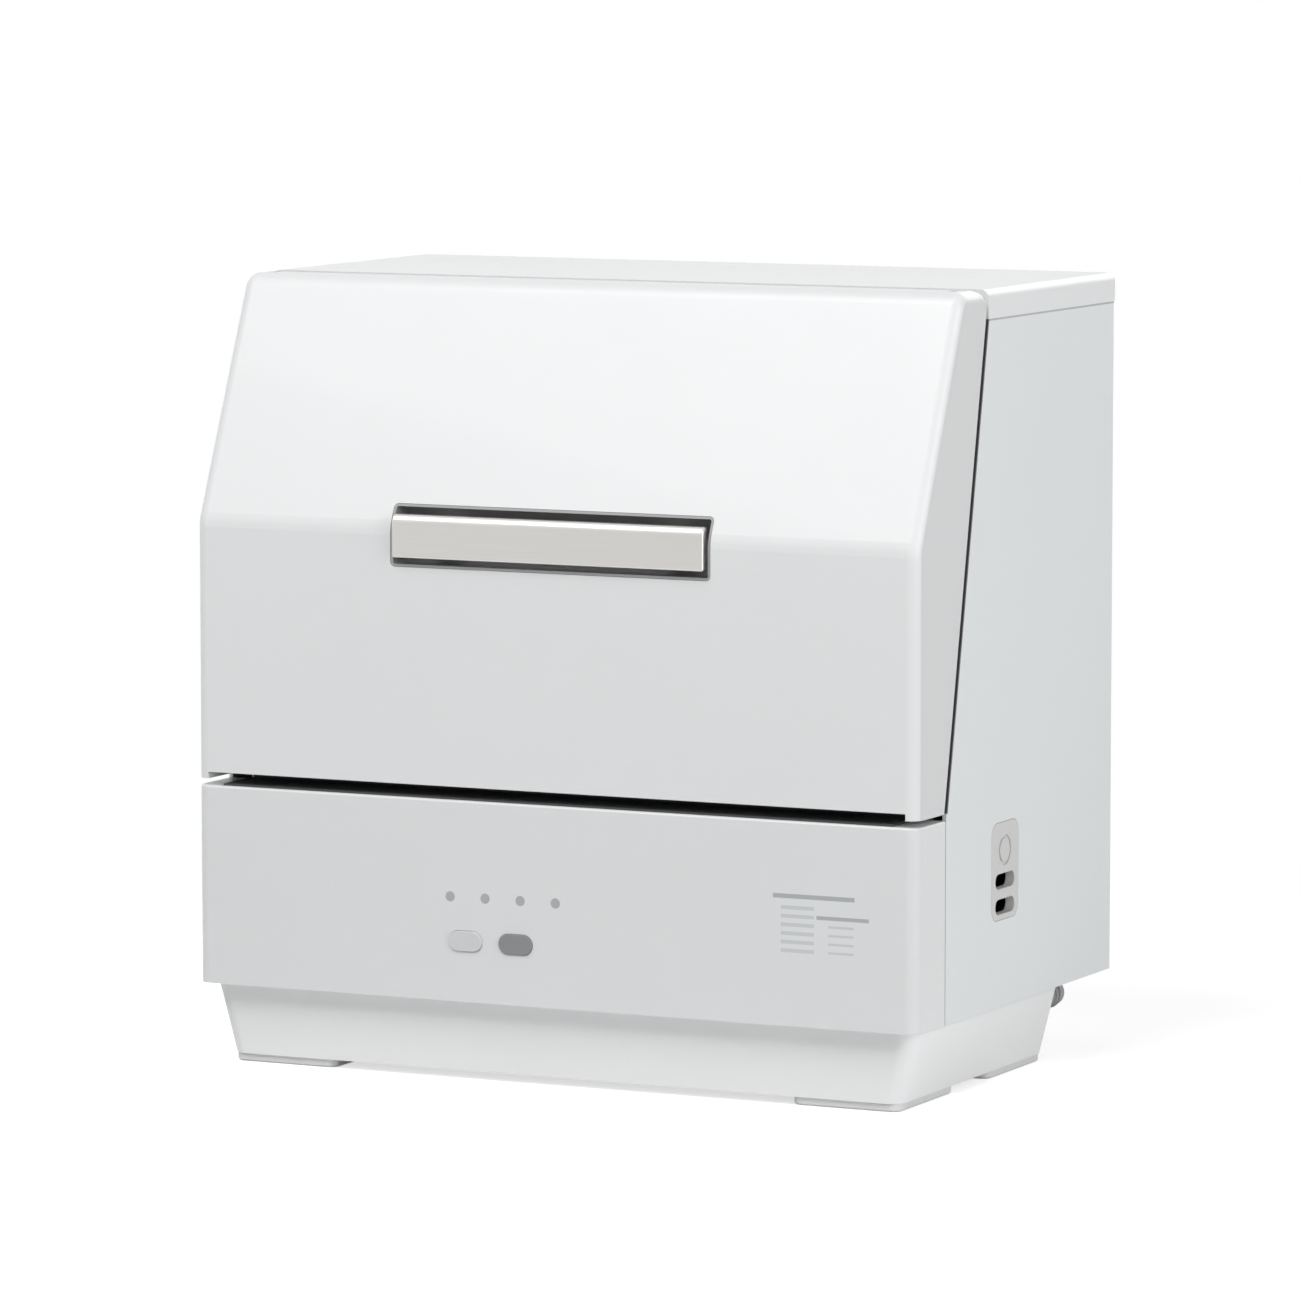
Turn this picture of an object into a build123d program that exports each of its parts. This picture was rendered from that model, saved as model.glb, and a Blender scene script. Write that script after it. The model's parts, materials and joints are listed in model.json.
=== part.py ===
from build123d import *
import os
from math import atan2, cos, radians, sin, tan

# A compact tabletop dishwasher, in millimetres. The origin is the middle of its footprint on the
# table, +Z is up, -Y is the front and +X is the right side seen from the front. The lid takes the
# whole upper front, turns on pins under the top cover, and meets the cabinet along a leaning seam.

# Whole cabinet
body_width = 470
body_depth = 300
body_height = 469
base_height = 48  # underside of the cabinet above the table
panel_height = 119  # fascia with the buttons, above the base
wall = 2.5  # moulded plastic walls
sheet = 1.5  # steel sheet and thin plastic liners
edge_round = 8  # rounded outer corners
clearance = 0.3  # between pieces that only meet
fit = 0.05  # radial, between turning or sliding pieces
press = 0.02  # radial, between pieces pressed together
overrun = 4  # how far a cut runs past what it cuts

# Lid
handle_stand = 4  # how far the handle bar stands in front of the lid
lid_gap = 8  # dark gap between the fascia and the lid
skirt_gap = 4  # the same gap at the two cheeks
crease_drop = 143  # where the upright face turns into the sloped one
crease_height = body_height - crease_drop
brow_depth = 62  # how far the sloped face leans back
crease_round = 22
brow_round = 12
seam_lean = 11.5  # degrees that the seam leans back
knuckle_radius = 12
knuckle_back = 87  # hinge axis behind the front of the cabinet
cover_gap = 3  # between the knuckle and the top cover
seam_gap = 3.5  # between the cheeks and the side panels
fascia_gap = 1  # between the fascia and the side panels

# Derived levels and planes
half_width = body_width / 2
front_y = handle_stand - body_depth / 2
rear_y = body_depth / 2
panel_top = base_height + panel_height
lid_bottom = panel_top + lid_gap
skirt_bottom = panel_top + skirt_gap
lean = radians(seam_lean)
hinge_y = knuckle_back - body_depth / 2
hinge_z = body_height - knuckle_radius
seam_foot_y = hinge_y + knuckle_radius * cos(lean)
seam_foot_z = hinge_z - knuckle_radius * sin(lean)
face_lean = atan2(brow_depth, body_height - crease_height)
inner_half = half_width - wall


def seam_y(height, behind=0):
    """Y of the plane that lies parallel to the seam, so far behind it, at this height."""
    return seam_foot_y + behind / cos(lean) + (height - seam_foot_z) * tan(lean)


def slope_y(height, inset=0):
    """Y of the plane that lies so far inside the lid's sloped face, at this height."""
    return front_y + (height - crease_height) * tan(face_lean) + inset / cos(face_lean)


def crease_z(inset=0):
    """Height where an inset upright face meets an inset sloped face."""
    return crease_height - inset * (1 / cos(face_lean) - 1) / tan(face_lean)


def seam_plane(behind=0):
    """Plane of the lid's seam: X to the right, Y up along the seam, Z out to the front."""
    origin = (0, seam_foot_y + behind * cos(lean), seam_foot_z - behind * sin(lean))
    return Plane(origin=origin, x_dir=(1, 0, 0), z_dir=(0, -cos(lean), sin(lean)))


def up_seam(height, behind=0):
    """Distance up that plane, from the foot of the hinge, to this height."""
    return (height - seam_foot_z + behind * sin(lean)) / cos(lean)


def seam_point(up, out):
    """(y, z) of a point so far up the seam and so far out in front of it."""
    return (
        seam_foot_y + up * sin(lean) - out * cos(lean),
        seam_foot_z + up * cos(lean) + out * sin(lean),
    )


def finish(part, name):
    """Name a finished piece and write it out."""
    part.label = name
    export_step(part, f"parts/{name}.step")


os.makedirs("parts", exist_ok=True)

# Levels and insets that several pieces of the cabinet share
cover_height = 17
screw_head = 1.8
screw_radius = 1.5
screw_head_radius = 3.5
panel_return = 25  # how far a side panel wraps round the rear corner
cover_bottom = body_height - cover_height
panel_rear_y = rear_y - screw_head
cabinet_front_y = seam_y(panel_top, seam_gap)
rear_sheet_y = panel_rear_y - wall - sheet

# Base tray: the tapered plinth, its floor and the shelf that carries the cabinet
foot_height = 5
plinth_front_inset = 10
plinth_front_taper = 2
plinth_side_inset = 5
plinth_side_taper = 11
plinth_back = 225  # rear wall of the plinth behind the front of the cabinet
plinth_round = 10
tray_floor = 3
tray_rib = 2
tray_rib_height = 6
tray_rib_pitch = 29
tray_rib_back = 176  # rear end of the ribs behind the front of the cabinet
shelf = 2.5

plinth_rear_y = front_y + plinth_back
plinth_half = half_width - plinth_side_inset
plinth_front_y = front_y + plinth_front_inset
foot_half = plinth_half - plinth_side_taper
foot_front_y = plinth_front_y + plinth_front_taper
tray_top = base_height + shelf
rib_depth = front_y + tray_rib_back - foot_front_y - wall
rib_middle_y = (front_y + tray_rib_back + foot_front_y + wall) / 2
rib_count = 2 * int(foot_half / tray_rib_pitch) + 1
rib_top_z = foot_height + tray_floor + tray_rib_height


def plinth_outline(half, front, inset):
    """Rounded outline of the plinth at one level, drawn so far inside its outer face."""
    depth = plinth_rear_y - front - 2 * inset
    with BuildSketch() as outline:
        with Locations((0, (plinth_rear_y + front) / 2)):
            RectangleRounded(2 * (half - inset), depth, plinth_round - inset)
    return outline.sketch


# Drain spigot, water inlet and cord gland leave through the plinth's rear wall
spigot_inset = 28
spigot_x = plinth_half - spigot_inset
spigot_rise = 28
spigot_z = foot_height + spigot_rise
spigot_radius = 8
spigot_bore = 5
inlet_x = 120
inlet_rise = 28
inlet_z = foot_height + inlet_rise
inlet_radius = 13
inlet_bore = 7
gland_x = -170
gland_rise = 28
gland_z = foot_height + gland_rise
gland_radius = 9
gland_bore = 4
port_collar = 3
port_reach = 24
spigot_reach = 52
port_step = 1  # the wall section of a port is thicker than its stub

with BuildPart() as base_tray:
    with BuildSketch(Plane.XY.offset(foot_height)):
        add(plinth_outline(foot_half, foot_front_y, 0))
    with BuildSketch(Plane.XY.offset(base_height)):
        add(plinth_outline(plinth_half, plinth_front_y, 0))
    loft()
    with BuildSketch(Plane.XY.offset(foot_height + tray_floor)):
        add(plinth_outline(foot_half, foot_front_y, wall))
    with BuildSketch(Plane.XY.offset(base_height)):
        add(plinth_outline(plinth_half, plinth_front_y, wall))
    loft(mode=Mode.SUBTRACT)
    with BuildSketch(Plane.XY.offset(base_height)):
        with Locations((0, (front_y + panel_rear_y) / 2)):
            RectangleRounded(
                2 * (inner_half - clearance),
                panel_rear_y - front_y - 2 * (wall + clearance),
                edge_round - wall,
            )
        add(plinth_outline(plinth_half, plinth_front_y, wall), mode=Mode.SUBTRACT)
    extrude(amount=shelf)
    with BuildSketch(Plane.XY.offset(foot_height + tray_floor)):
        with Locations((0, rib_middle_y)):
            with GridLocations(tray_rib_pitch, 0, rib_count, 1):
                Rectangle(tray_rib, rib_depth)
    extrude(amount=tray_rib_height)
    for port_x, port_z, port_radius in (
        (spigot_x, spigot_z, spigot_radius),
        (inlet_x, inlet_z, inlet_radius),
        (gland_x, gland_z, gland_radius),
    ):
        with BuildSketch(Plane.XZ.offset(-plinth_rear_y - overrun)):
            with Locations((port_x, port_z)):
                Circle(port_radius + port_step + press)
        extrude(amount=wall + 2 * overrun, mode=Mode.SUBTRACT)
finish(base_tray.part, "base_tray")

# Foot pads at the four corners
pad_width = 68
pad_depth = 80
pad_round = 6
pad_inset = 1.5
pad_chamfer = 1
pad_x = foot_half - pad_inset - pad_width / 2
pad_front_y = foot_front_y + pad_inset + pad_depth / 2
pad_rear_y = plinth_rear_y - pad_inset - pad_depth / 2
with BuildPart() as foot_pads:
    with BuildSketch():
        with Locations((0, (pad_front_y + pad_rear_y) / 2)):
            with GridLocations(2 * pad_x, pad_rear_y - pad_front_y, 2, 2):
                RectangleRounded(pad_width, pad_depth, pad_round)
    extrude(amount=foot_height)
    chamfer(foot_pads.edges().group_by(Axis.Z)[0], length=pad_chamfer)
finish(foot_pads.part, "foot_pads")

# Screws that hold the side panels to the rear panel
rear_screw_count = 4
rear_screw_margin = 30
rear_screw_x = half_width - panel_return / 2
rear_screw_pitch = (cover_bottom - tray_top - 2 * rear_screw_margin) / (rear_screw_count - 1)
rear_screw_z = (cover_bottom + tray_top) / 2


def rear_screw_spots():
    """The screw places on a plane that faces the rear."""
    return GridLocations(2 * rear_screw_x, rear_screw_pitch, 2, rear_screw_count)


with BuildPart() as rear_screws:
    with BuildSketch(Plane.XZ.offset(-rear_y)):
        with Locations((0, rear_screw_z)):
            with rear_screw_spots():
                Circle(screw_head_radius)
    extrude(amount=screw_head)
    with BuildSketch(Plane.XZ.offset(-panel_rear_y)):
        with Locations((0, rear_screw_z)):
            with rear_screw_spots():
                Circle(screw_radius)
    extrude(amount=wall + sheet)
finish(rear_screws.part, "rear_screws")

# Vent insert in the right side, over the pump compartment
vent_y = -20
vent_low_rise = 51
vent_low = base_height + vent_low_rise
vent_high_rise = 109
vent_high = base_height + vent_high_rise
vent_width = 40
vent_round = 8
vent_flange = 1
vent_lip = 3
vent_ring_radius = 9
vent_ring_wall = 2
vent_slot_length = 28
vent_slot_height = 9
vent_slot_pitch = 15
vent_z = (vent_low + vent_high) / 2

# Side panels with their rear returns
for side, name in ((-1, "side_panel_left"), (1, "side_panel_right")):
    with BuildPart() as side_panel:
        with BuildSketch(Plane.XY.offset(base_height)):
            with Locations((0, (front_y + panel_rear_y) / 2)):
                RectangleRounded(body_width, panel_rear_y - front_y, edge_round)
                RectangleRounded(
                    2 * inner_half,
                    panel_rear_y - front_y - 2 * wall,
                    edge_round - wall,
                    mode=Mode.SUBTRACT,
                )
            with Locations((side * rear_screw_x, (front_y + panel_rear_y) / 2)):
                Rectangle(panel_return, body_depth, mode=Mode.INTERSECT)
        extrude(amount=cover_bottom - base_height)
        with BuildSketch(Plane.YZ):
            Polygon(
                (cabinet_front_y, base_height),
                (cabinet_front_y, panel_top),
                (seam_y(cover_bottom, seam_gap), cover_bottom),
                (rear_y, cover_bottom),
                (rear_y, base_height),
                align=None,
            )
        extrude(amount=half_width, both=True, mode=Mode.INTERSECT)
        with BuildSketch(Plane.XZ.offset(-rear_y)):
            with Locations((0, rear_screw_z)):
                with rear_screw_spots():
                    Circle(screw_radius + press)
        extrude(amount=wall + 2 * screw_head, mode=Mode.SUBTRACT)
        if side > 0:
            with BuildSketch(Plane.YZ.offset(half_width)):
                with Locations((vent_y, vent_z)):
                    RectangleRounded(vent_width, vent_high - vent_low, vent_round)
            extrude(amount=-2 * wall, mode=Mode.SUBTRACT)
    finish(side_panel.part, name)

with BuildPart() as side_vent:
    with BuildSketch(Plane.YZ.offset(inner_half - vent_lip)):
        with Locations((vent_y, vent_z)):
            RectangleRounded(
                vent_width - 2 * clearance, vent_high - vent_low - 2 * clearance, vent_round - clearance
            )
    extrude(amount=wall + vent_lip)
    with BuildSketch(Plane.YZ.offset(half_width - vent_flange)):
        with Locations((vent_y, vent_high - vent_round - vent_ring_radius)):
            Circle(vent_ring_radius)
            Circle(vent_ring_radius - vent_ring_wall, mode=Mode.SUBTRACT)
    extrude(amount=vent_flange, mode=Mode.SUBTRACT)
    with BuildSketch(Plane.YZ.offset(half_width)):
        with Locations((vent_y, vent_low + vent_round + vent_slot_pitch / 2)):
            with GridLocations(0, vent_slot_pitch, 1, 2):
                SlotOverall(vent_slot_length, vent_slot_height)
    extrude(amount=-2 * wall - vent_lip, mode=Mode.SUBTRACT)
finish(side_vent.part, "side_vent")

# Rear panel: pressed sheet with two groups of louvre slots
louvre_length = 70
louvre_height = 4
louvre_pitch = 10
louvre_count = 7
louvre_spread = 250
louvre_rise = 81
louvre_z = base_height + louvre_rise
rear_sheet_half = half_width - edge_round - clearance
with BuildPart() as rear_panel:
    with BuildSketch(Plane.XZ.offset(-rear_sheet_y - sheet)):
        with Locations((0, (tray_top + cover_bottom) / 2)):
            Rectangle(2 * rear_sheet_half, cover_bottom - tray_top)
            with rear_screw_spots():
                Circle(screw_radius + press, mode=Mode.SUBTRACT)
        with Locations((0, louvre_z)):
            with GridLocations(louvre_spread, louvre_pitch, 2, louvre_count):
                SlotOverall(louvre_length, louvre_height, mode=Mode.SUBTRACT)
    extrude(amount=sheet)
finish(rear_panel.part, "rear_panel")

# Top cover behind the lid's knuckle
cover_round = 5
cover_lip = 5
cover_front_y = hinge_y + knuckle_radius + cover_gap
cover_depth = rear_y - cover_front_y
cover_middle_y = (rear_y + cover_front_y) / 2
with BuildPart() as top_cover:
    with BuildSketch(Plane.XY.offset(cover_bottom)):
        with Locations((0, cover_middle_y)):
            Rectangle(body_width, cover_depth)
    extrude(amount=cover_height)
    fillet(top_cover.edges().filter_by(Axis.Z).group_by(Axis.Y)[-1], radius=edge_round)
    fillet(top_cover.faces().sort_by(Axis.Z)[-1].edges().sort_by(Axis.Y)[1:], radius=cover_round)
    with BuildSketch(Plane.XY.offset(cover_bottom)):
        with Locations((0, cover_middle_y)):
            RectangleRounded(2 * inner_half, cover_depth - 2 * wall, edge_round - wall)
    extrude(amount=cover_height - wall, mode=Mode.SUBTRACT)
    with BuildSketch(Plane.XY.offset(cover_bottom)):
        with Locations((0, cover_front_y + wall)):
            Rectangle(2 * inner_half, 2 * wall)
    extrude(amount=cover_height - cover_lip, mode=Mode.SUBTRACT)
finish(top_cover.part, "top_cover")

# Fascia: front, cheeks and the shelf under the lid
fascia_round = 1.5
fascia_back_y = cabinet_front_y - fascia_gap
button_x = -38.5  # middle between the two buttons
button_pitch = 33
button_rise = 36
button_z = base_height + button_rise
button_width = 22
button_height = 12
button_play = 0.25
lens_x = -30.5
lens_rise = 62
lens_z = base_height + lens_rise
lens_pitch = 23
lens_count = 4
lens_radius = 3
lens_flange = 1.5

with BuildPart() as front_panel:
    with BuildSketch(Plane.XY.offset(base_height)):
        RectangleRounded(body_width, -2 * front_y, edge_round)
        with Locations((0, (front_y + fascia_back_y) / 2)):
            Rectangle(body_width, fascia_back_y - front_y, mode=Mode.INTERSECT)
    extrude(amount=panel_height)
    fillet(front_panel.faces().sort_by(Axis.Z)[-1].edges().sort_by(Axis.Y)[:-1], radius=fascia_round)
    with BuildSketch(Plane.XY.offset(base_height)):
        RectangleRounded(2 * inner_half, -2 * (front_y + wall), edge_round - wall)
    extrude(amount=panel_height - wall, mode=Mode.SUBTRACT)
    with BuildSketch(Plane.XZ.offset(-front_y)):
        with Locations((button_x, button_z)):
            with GridLocations(button_pitch, 0, 2, 1):
                SlotOverall(button_width + 2 * button_play, button_height + 2 * button_play)
        with Locations((lens_x, lens_z)):
            with GridLocations(lens_pitch, 0, lens_count, 1):
                Circle(lens_radius + press)
    extrude(amount=-2 * wall, mode=Mode.SUBTRACT)
finish(front_panel.part, "front_panel")

# Control board behind the fascia, with its switches and lamps
board_set_back = 18
board_thickness = 1.6
board_width = 150
board_height = 62
board_x = -30
board_rise = 49
board_z = base_height + board_rise
switch_size = 6
switch_height = 5
lamp_radius = 2.5
relay_size = 15
relay_pitch = 36
board_y = front_y + board_set_back
switch_y = board_y - switch_height
with BuildPart() as control_board:
    with BuildSketch(Plane.XZ.offset(-board_y)):
        with Locations((board_x, board_z)):
            Rectangle(board_width, board_height)
    extrude(amount=-board_thickness)
    with BuildSketch(Plane.XZ.offset(-board_y)):
        with Locations((button_x, button_z)):
            with GridLocations(button_pitch, 0, 2, 1):
                Rectangle(switch_size, switch_size)
    extrude(amount=switch_height)
    with BuildSketch(Plane.XZ.offset(-board_y)):
        with Locations((lens_x, lens_z)):
            with GridLocations(lens_pitch, 0, lens_count, 1):
                Circle(lamp_radius)
    extrude(amount=switch_height)
    with BuildSketch(Plane.XZ.offset(-board_y - board_thickness)):
        with Locations((board_x, board_z + relay_size)):
            with GridLocations(relay_pitch, 0, lens_count, 1):
                Rectangle(relay_size, relay_size)
    extrude(amount=-relay_size)
finish(control_board.part, "control_board")

# Bracket that stands on the tray and holds the board by four posts
bracket_gap = 17
post_radius = 3
post_inset = 6
bracket_y = board_y + board_thickness + bracket_gap
with BuildPart() as board_bracket:
    with BuildSketch(Plane.YZ.offset(board_x - board_width / 2)):
        Polygon(
            (bracket_y, board_z + board_height / 2),
            (bracket_y + sheet, board_z + board_height / 2),
            (bracket_y + sheet, tray_top),
            (front_y + wall + clearance, tray_top),
            (front_y + wall + clearance, tray_top + sheet),
            (bracket_y, tray_top + sheet),
            align=None,
        )
    extrude(amount=board_width)
    with BuildSketch(Plane.XZ.offset(-bracket_y)):
        with Locations((board_x, board_z)):
            with GridLocations(board_width - 2 * post_inset, board_height - 2 * post_inset, 2, 2):
                Circle(post_radius)
    extrude(amount=bracket_gap)
finish(board_bracket.part, "board_bracket")

# Lamp lenses in the fascia, each with a flange behind it
with BuildPart() as indicator_lenses:
    with BuildSketch(Plane.XZ.offset(-front_y)):
        with Locations((lens_x, lens_z)):
            with GridLocations(lens_pitch, 0, lens_count, 1):
                Circle(lens_radius)
    extrude(amount=-wall - lens_flange)
    with BuildSketch(Plane.XZ.offset(-front_y - wall)):
        with Locations((lens_x, lens_z)):
            with GridLocations(lens_pitch, 0, lens_count, 1):
                Circle(lens_radius + lens_flange)
    extrude(amount=-lens_flange)
finish(indicator_lenses.part, "indicator_lenses")

# Push buttons: an oval cap in the fascia, a flange behind it and a stem to the switch
button_stand = 1
button_travel = 1.2
button_flange = 1.5
button_stem_radius = 2
for place, name in ((-1, "power_button"), (1, "start_button")):
    with BuildPart() as button:
        with BuildSketch(Plane.XZ.offset(-front_y + button_stand)):
            with Locations((button_x + place * button_pitch / 2, button_z)):
                SlotOverall(button_width, button_height)
        extrude(amount=-button_stand - wall - clearance)
        fillet(button.faces().sort_by(Axis.Y)[0].edges(), radius=button_stand / 2)
        with BuildSketch(Plane.XZ.offset(-front_y - wall - clearance)):
            with Locations((button_x + place * button_pitch / 2, button_z)):
                SlotOverall(button_width + 2 * button_flange, button_height + 2 * button_flange)
        extrude(amount=-button_flange)
        with BuildSketch(Plane.XZ.offset(-front_y - wall - clearance - button_flange)):
            with Locations((button_x + place * button_pitch / 2, button_z)):
                Circle(button_stem_radius)
        extrude(
            amount=-(switch_y - front_y - wall - 2 * clearance - button_flange - button_travel)
        )
    finish(button.part, name)

# Wash tub: extruded straight back from its opening on the leaning seam
tub_half = 206
tub_lift = 145
tub_floor_z = base_height + tub_lift
tub_top_gap = 32
tub_top_z = body_height - tub_top_gap
tub_back = 270  # rear wall behind the front of the cabinet
tub_round = 24
flange_set_back = 6
flange_width = 13
tub_rear_y = front_y + tub_back
tub_rear_round = 14
tub_height = tub_top_z - tub_floor_z

# Openings in the tub floor: the filter well, the spray hub and the float
hub_x = 0
hub_y = 10
hub_hole = 13
well_x = 60
well_y = -44
well_radius = 33
float_x = -165
float_y = -55
float_hole = 4
heater_rise = 8
heater_z = tub_floor_z + heater_rise
heater_wire = 3.25
heater_half_width = 130
heater_front_y = -86
heater_rear_y = 96
heater_lead = 15  # half the distance between the two leads
heater_corner = 40
heater_drop = 36
heater_bend = 6.4


def tub_block(inset):
    """The tub's outer form, or its hollow, drawn so far inside it."""
    with BuildPart() as block:
        with BuildSketch(Plane.XZ.offset(inset - tub_rear_y)):
            with Locations((0, tub_floor_z + tub_height / 2)):
                RectangleRounded(2 * (tub_half - inset), tub_height - 2 * inset, tub_round - inset)
        extrude(amount=tub_back)
        fillet(block.faces().sort_by(Axis.Y)[-1].edges(), radius=tub_rear_round - inset)
    return block.part


def opening_outline(grow, behind):
    """The tub opening's outline on a plane along the seam, grown all round."""
    low = up_seam(tub_floor_z, behind) - grow
    high = up_seam(tub_top_z, behind) + grow
    with BuildSketch(seam_plane(behind)) as outline:
        with Locations((0, (low + high) / 2)):
            RectangleRounded(2 * (tub_half + grow), high - low, tub_round + grow)
    return outline.sketch


with BuildPart() as tub:
    add(tub_block(0))
    split(bisect_by=seam_plane(flange_set_back), keep=Keep.BOTTOM)
    extrude(opening_outline(flange_width, flange_set_back), amount=-sheet)
    add(tub_block(sheet), mode=Mode.SUBTRACT)
    with BuildSketch(Plane.XY.offset(tub_floor_z - overrun)):
        with Locations((hub_x, hub_y)):
            Circle(hub_hole)
        with Locations((well_x, well_y)):
            Circle(well_radius + clearance)
        with Locations((float_x, float_y)):
            Circle(float_hole + clearance)
        with Locations((-heater_lead, heater_rear_y), (heater_lead, heater_rear_y)):
            Circle(heater_wire + fit)
    extrude(amount=2 * overrun, mode=Mode.SUBTRACT)
finish(tub.part, "tub")

# Door seal: a rubber frame on the tub's flange, just short of the lid's liner
seal_inset = 3
seal_width = 8
liner_set_out = 2
seal_round = 2
with BuildPart() as tub_seal:
    extrude(
        opening_outline(seal_inset + seal_width, flange_set_back),
        amount=flange_set_back + liner_set_out - clearance,
    )
    extrude(
        opening_outline(seal_inset, flange_set_back),
        amount=flange_set_back + liner_set_out,
        mode=Mode.SUBTRACT,
    )
    fillet(tub_seal.faces().filter_by(seam_plane()).sort_by(Axis.Y)[0].edges(), radius=seal_round)
finish(tub_seal.part, "tub_seal")

# Drip channel on the fascia's shelf, turned up in front of the tub
drip_thickness = 1.2
drip_set_back = 3
drip_inset = 2.5
drip_drop = 14
drip_top_z = tub_floor_z - drip_drop
drip_half = 218
drip_back = drip_set_back + drip_thickness
with BuildPart() as drip_channel:
    with BuildSketch(Plane.YZ):
        Polygon(
            (front_y + drip_inset, panel_top),
            (front_y + drip_inset, panel_top + drip_thickness),
            (seam_y(panel_top + drip_thickness, drip_set_back), panel_top + drip_thickness),
            (seam_y(drip_top_z, drip_set_back), drip_top_z),
            (seam_y(drip_top_z, drip_back), drip_top_z),
            (seam_y(panel_top, drip_back), panel_top),
            align=None,
        )
    extrude(amount=drip_half, both=True)
finish(drip_channel.part, "drip_channel")

# Side frames: steel plates that carry the hinge ears, the tub and the side panels
frame_inset = 14
frame_x = half_width - frame_inset
frame_plate = 2.5
frame_set_back = 8
frame_strip = 24
frame_foot = 10
frame_lip = 46
frame_lip_strip = 18
ear_radius = 9
ear_low = 12
ear_high = 7
pin_radius = 4
bush_radius = 6.5
bush_collar_radius = 8.5
bush_collar = 1.5
bush_length = 9
frame_low_y = cabinet_front_y + frame_set_back
frame_top_z = cover_bottom - clearance
frame_rear_y = rear_sheet_y - clearance
bush_start = frame_x + frame_plate / 2 - bush_length / 2
frame_foot_y = (frame_low_y + frame_rear_y - edge_round) / 2
hinge_spot = (hinge_y, hinge_z)

for side, name in ((-1, "side_frame_left"), (1, "side_frame_right")):
    with BuildPart() as side_frame:
        with BuildSketch(Plane.YZ.offset(side * frame_x)):
            Polygon(
                (frame_low_y, tray_top),
                (frame_low_y, panel_top),
                (seam_y(frame_top_z, frame_set_back), frame_top_z),
                (frame_rear_y, frame_top_z),
                (frame_rear_y, tray_top),
                align=None,
            )
            offset(amount=-frame_strip, kind=Kind.INTERSECTION, mode=Mode.SUBTRACT)
            with Locations(((frame_low_y + frame_rear_y) / 2, tub_floor_z - frame_lip_strip / 2)):
                Rectangle(frame_rear_y - frame_low_y - frame_strip, frame_lip_strip)
            with Locations(hinge_spot):
                Circle(ear_radius)
            Polygon(
                seam_point(-ear_low, knuckle_radius),
                seam_point(ear_high, knuckle_radius),
                seam_point(ear_high, -frame_set_back - frame_strip / 2),
                seam_point(-ear_low, -frame_set_back - frame_strip / 2),
                align=None,
            )
            with Locations(hinge_spot):
                Circle(bush_radius + press, mode=Mode.SUBTRACT)
        extrude(amount=side * frame_plate)
        with BuildSketch(Plane.XY.offset(tray_top)):
            with Locations((side * (frame_x + frame_foot / 2), frame_foot_y)):
                Rectangle(frame_foot, frame_rear_y - edge_round - frame_low_y)
        extrude(amount=frame_plate)
        with BuildSketch(Plane.XY.offset(tub_floor_z)):
            with Locations((side * (frame_x - frame_lip / 2), (frame_low_y + tub_rear_y) / 2)):
                Rectangle(frame_lip, tub_rear_y - frame_low_y - 2 * frame_set_back)
        extrude(amount=-frame_plate)
    finish(side_frame.part, name)

with BuildPart() as hinge_bushes:
    with BuildSketch(Plane.YZ.offset(bush_start)):
        with Locations(hinge_spot):
            Circle(bush_radius)
            Circle(pin_radius + fit, mode=Mode.SUBTRACT)
    extrude(amount=bush_length)
    with BuildSketch(Plane.YZ.offset(frame_x)):
        with Locations(hinge_spot):
            Circle(bush_collar_radius)
            Circle(pin_radius + fit, mode=Mode.SUBTRACT)
    extrude(amount=-bush_collar)
    mirror(about=Plane.YZ)
finish(hinge_bushes.part, "hinge_bushes")

# Screws that hold the liner to bosses in the lid's cheeks
liner_screw_inset = 8
liner_screw_x = half_width - liner_screw_inset
liner_screw_rows = 3
liner_screw_low_gap = 36
liner_screw_low_z = tub_floor_z + liner_screw_low_gap
liner_screw_high_gap = 28
liner_screw_high_z = tub_top_z - liner_screw_high_gap
liner_screw_head = 1.4
liner_screw_head_radius = 3
boss_radius = 6
boss_length = 14
liner_screw_up = (up_seam(liner_screw_low_z) + up_seam(liner_screw_high_z)) / 2
liner_screw_pitch = (up_seam(liner_screw_high_z) - up_seam(liner_screw_low_z)) / (liner_screw_rows - 1)


def liner_screw_spots():
    """The liner's screw places on a plane along the seam."""
    return GridLocations(2 * liner_screw_x, liner_screw_pitch, 2, liner_screw_rows)


# Lid: a one-piece moulding with a sloped face, an upright face and two cheeks
handle_drop = 4.5
handle_z = crease_height - handle_drop
handle_hole_width = 208
handle_hole_height = 37
handle_hole_round = 3
handle_depth = 20
ear_slot_play = 0.8
web_thickness = 6
web_reach = 40
web_start = 209
outer_web_start = 229
lip_cut = 10


def lid_prism(inset, bottom):
    """The lid's outer form, or its hollow, running back past the seam."""
    with BuildSketch(Plane.YZ) as outline:
        Polygon(
            (front_y + inset, bottom),
            (front_y + inset, crease_z(inset)),
            (slope_y(body_height - inset, inset), body_height - inset),
            (0, body_height - inset),
            (0, bottom),
            align=None,
        )
        crease = outline.vertices().sort_by_distance((front_y + inset, crease_z(inset)))[0]
        fillet(crease, radius=crease_round - inset)
        brow = (slope_y(body_height - inset, inset), body_height - inset)
        fillet(outline.vertices().sort_by_distance(brow)[0], radius=brow_round - inset)
    with BuildPart() as prism:
        extrude(outline.sketch, amount=half_width - inset, both=True)
        for cheek in (0, -1):
            rim = prism.faces().filter_by(Axis.X).sort_by(Axis.X)[cheek].edges()
            rim = rim.sort_by(Axis.Y)[:-1].filter_by(lambda edge: edge.center().Z > bottom)
            fillet(rim, radius=edge_round - inset)
    return prism.part


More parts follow.
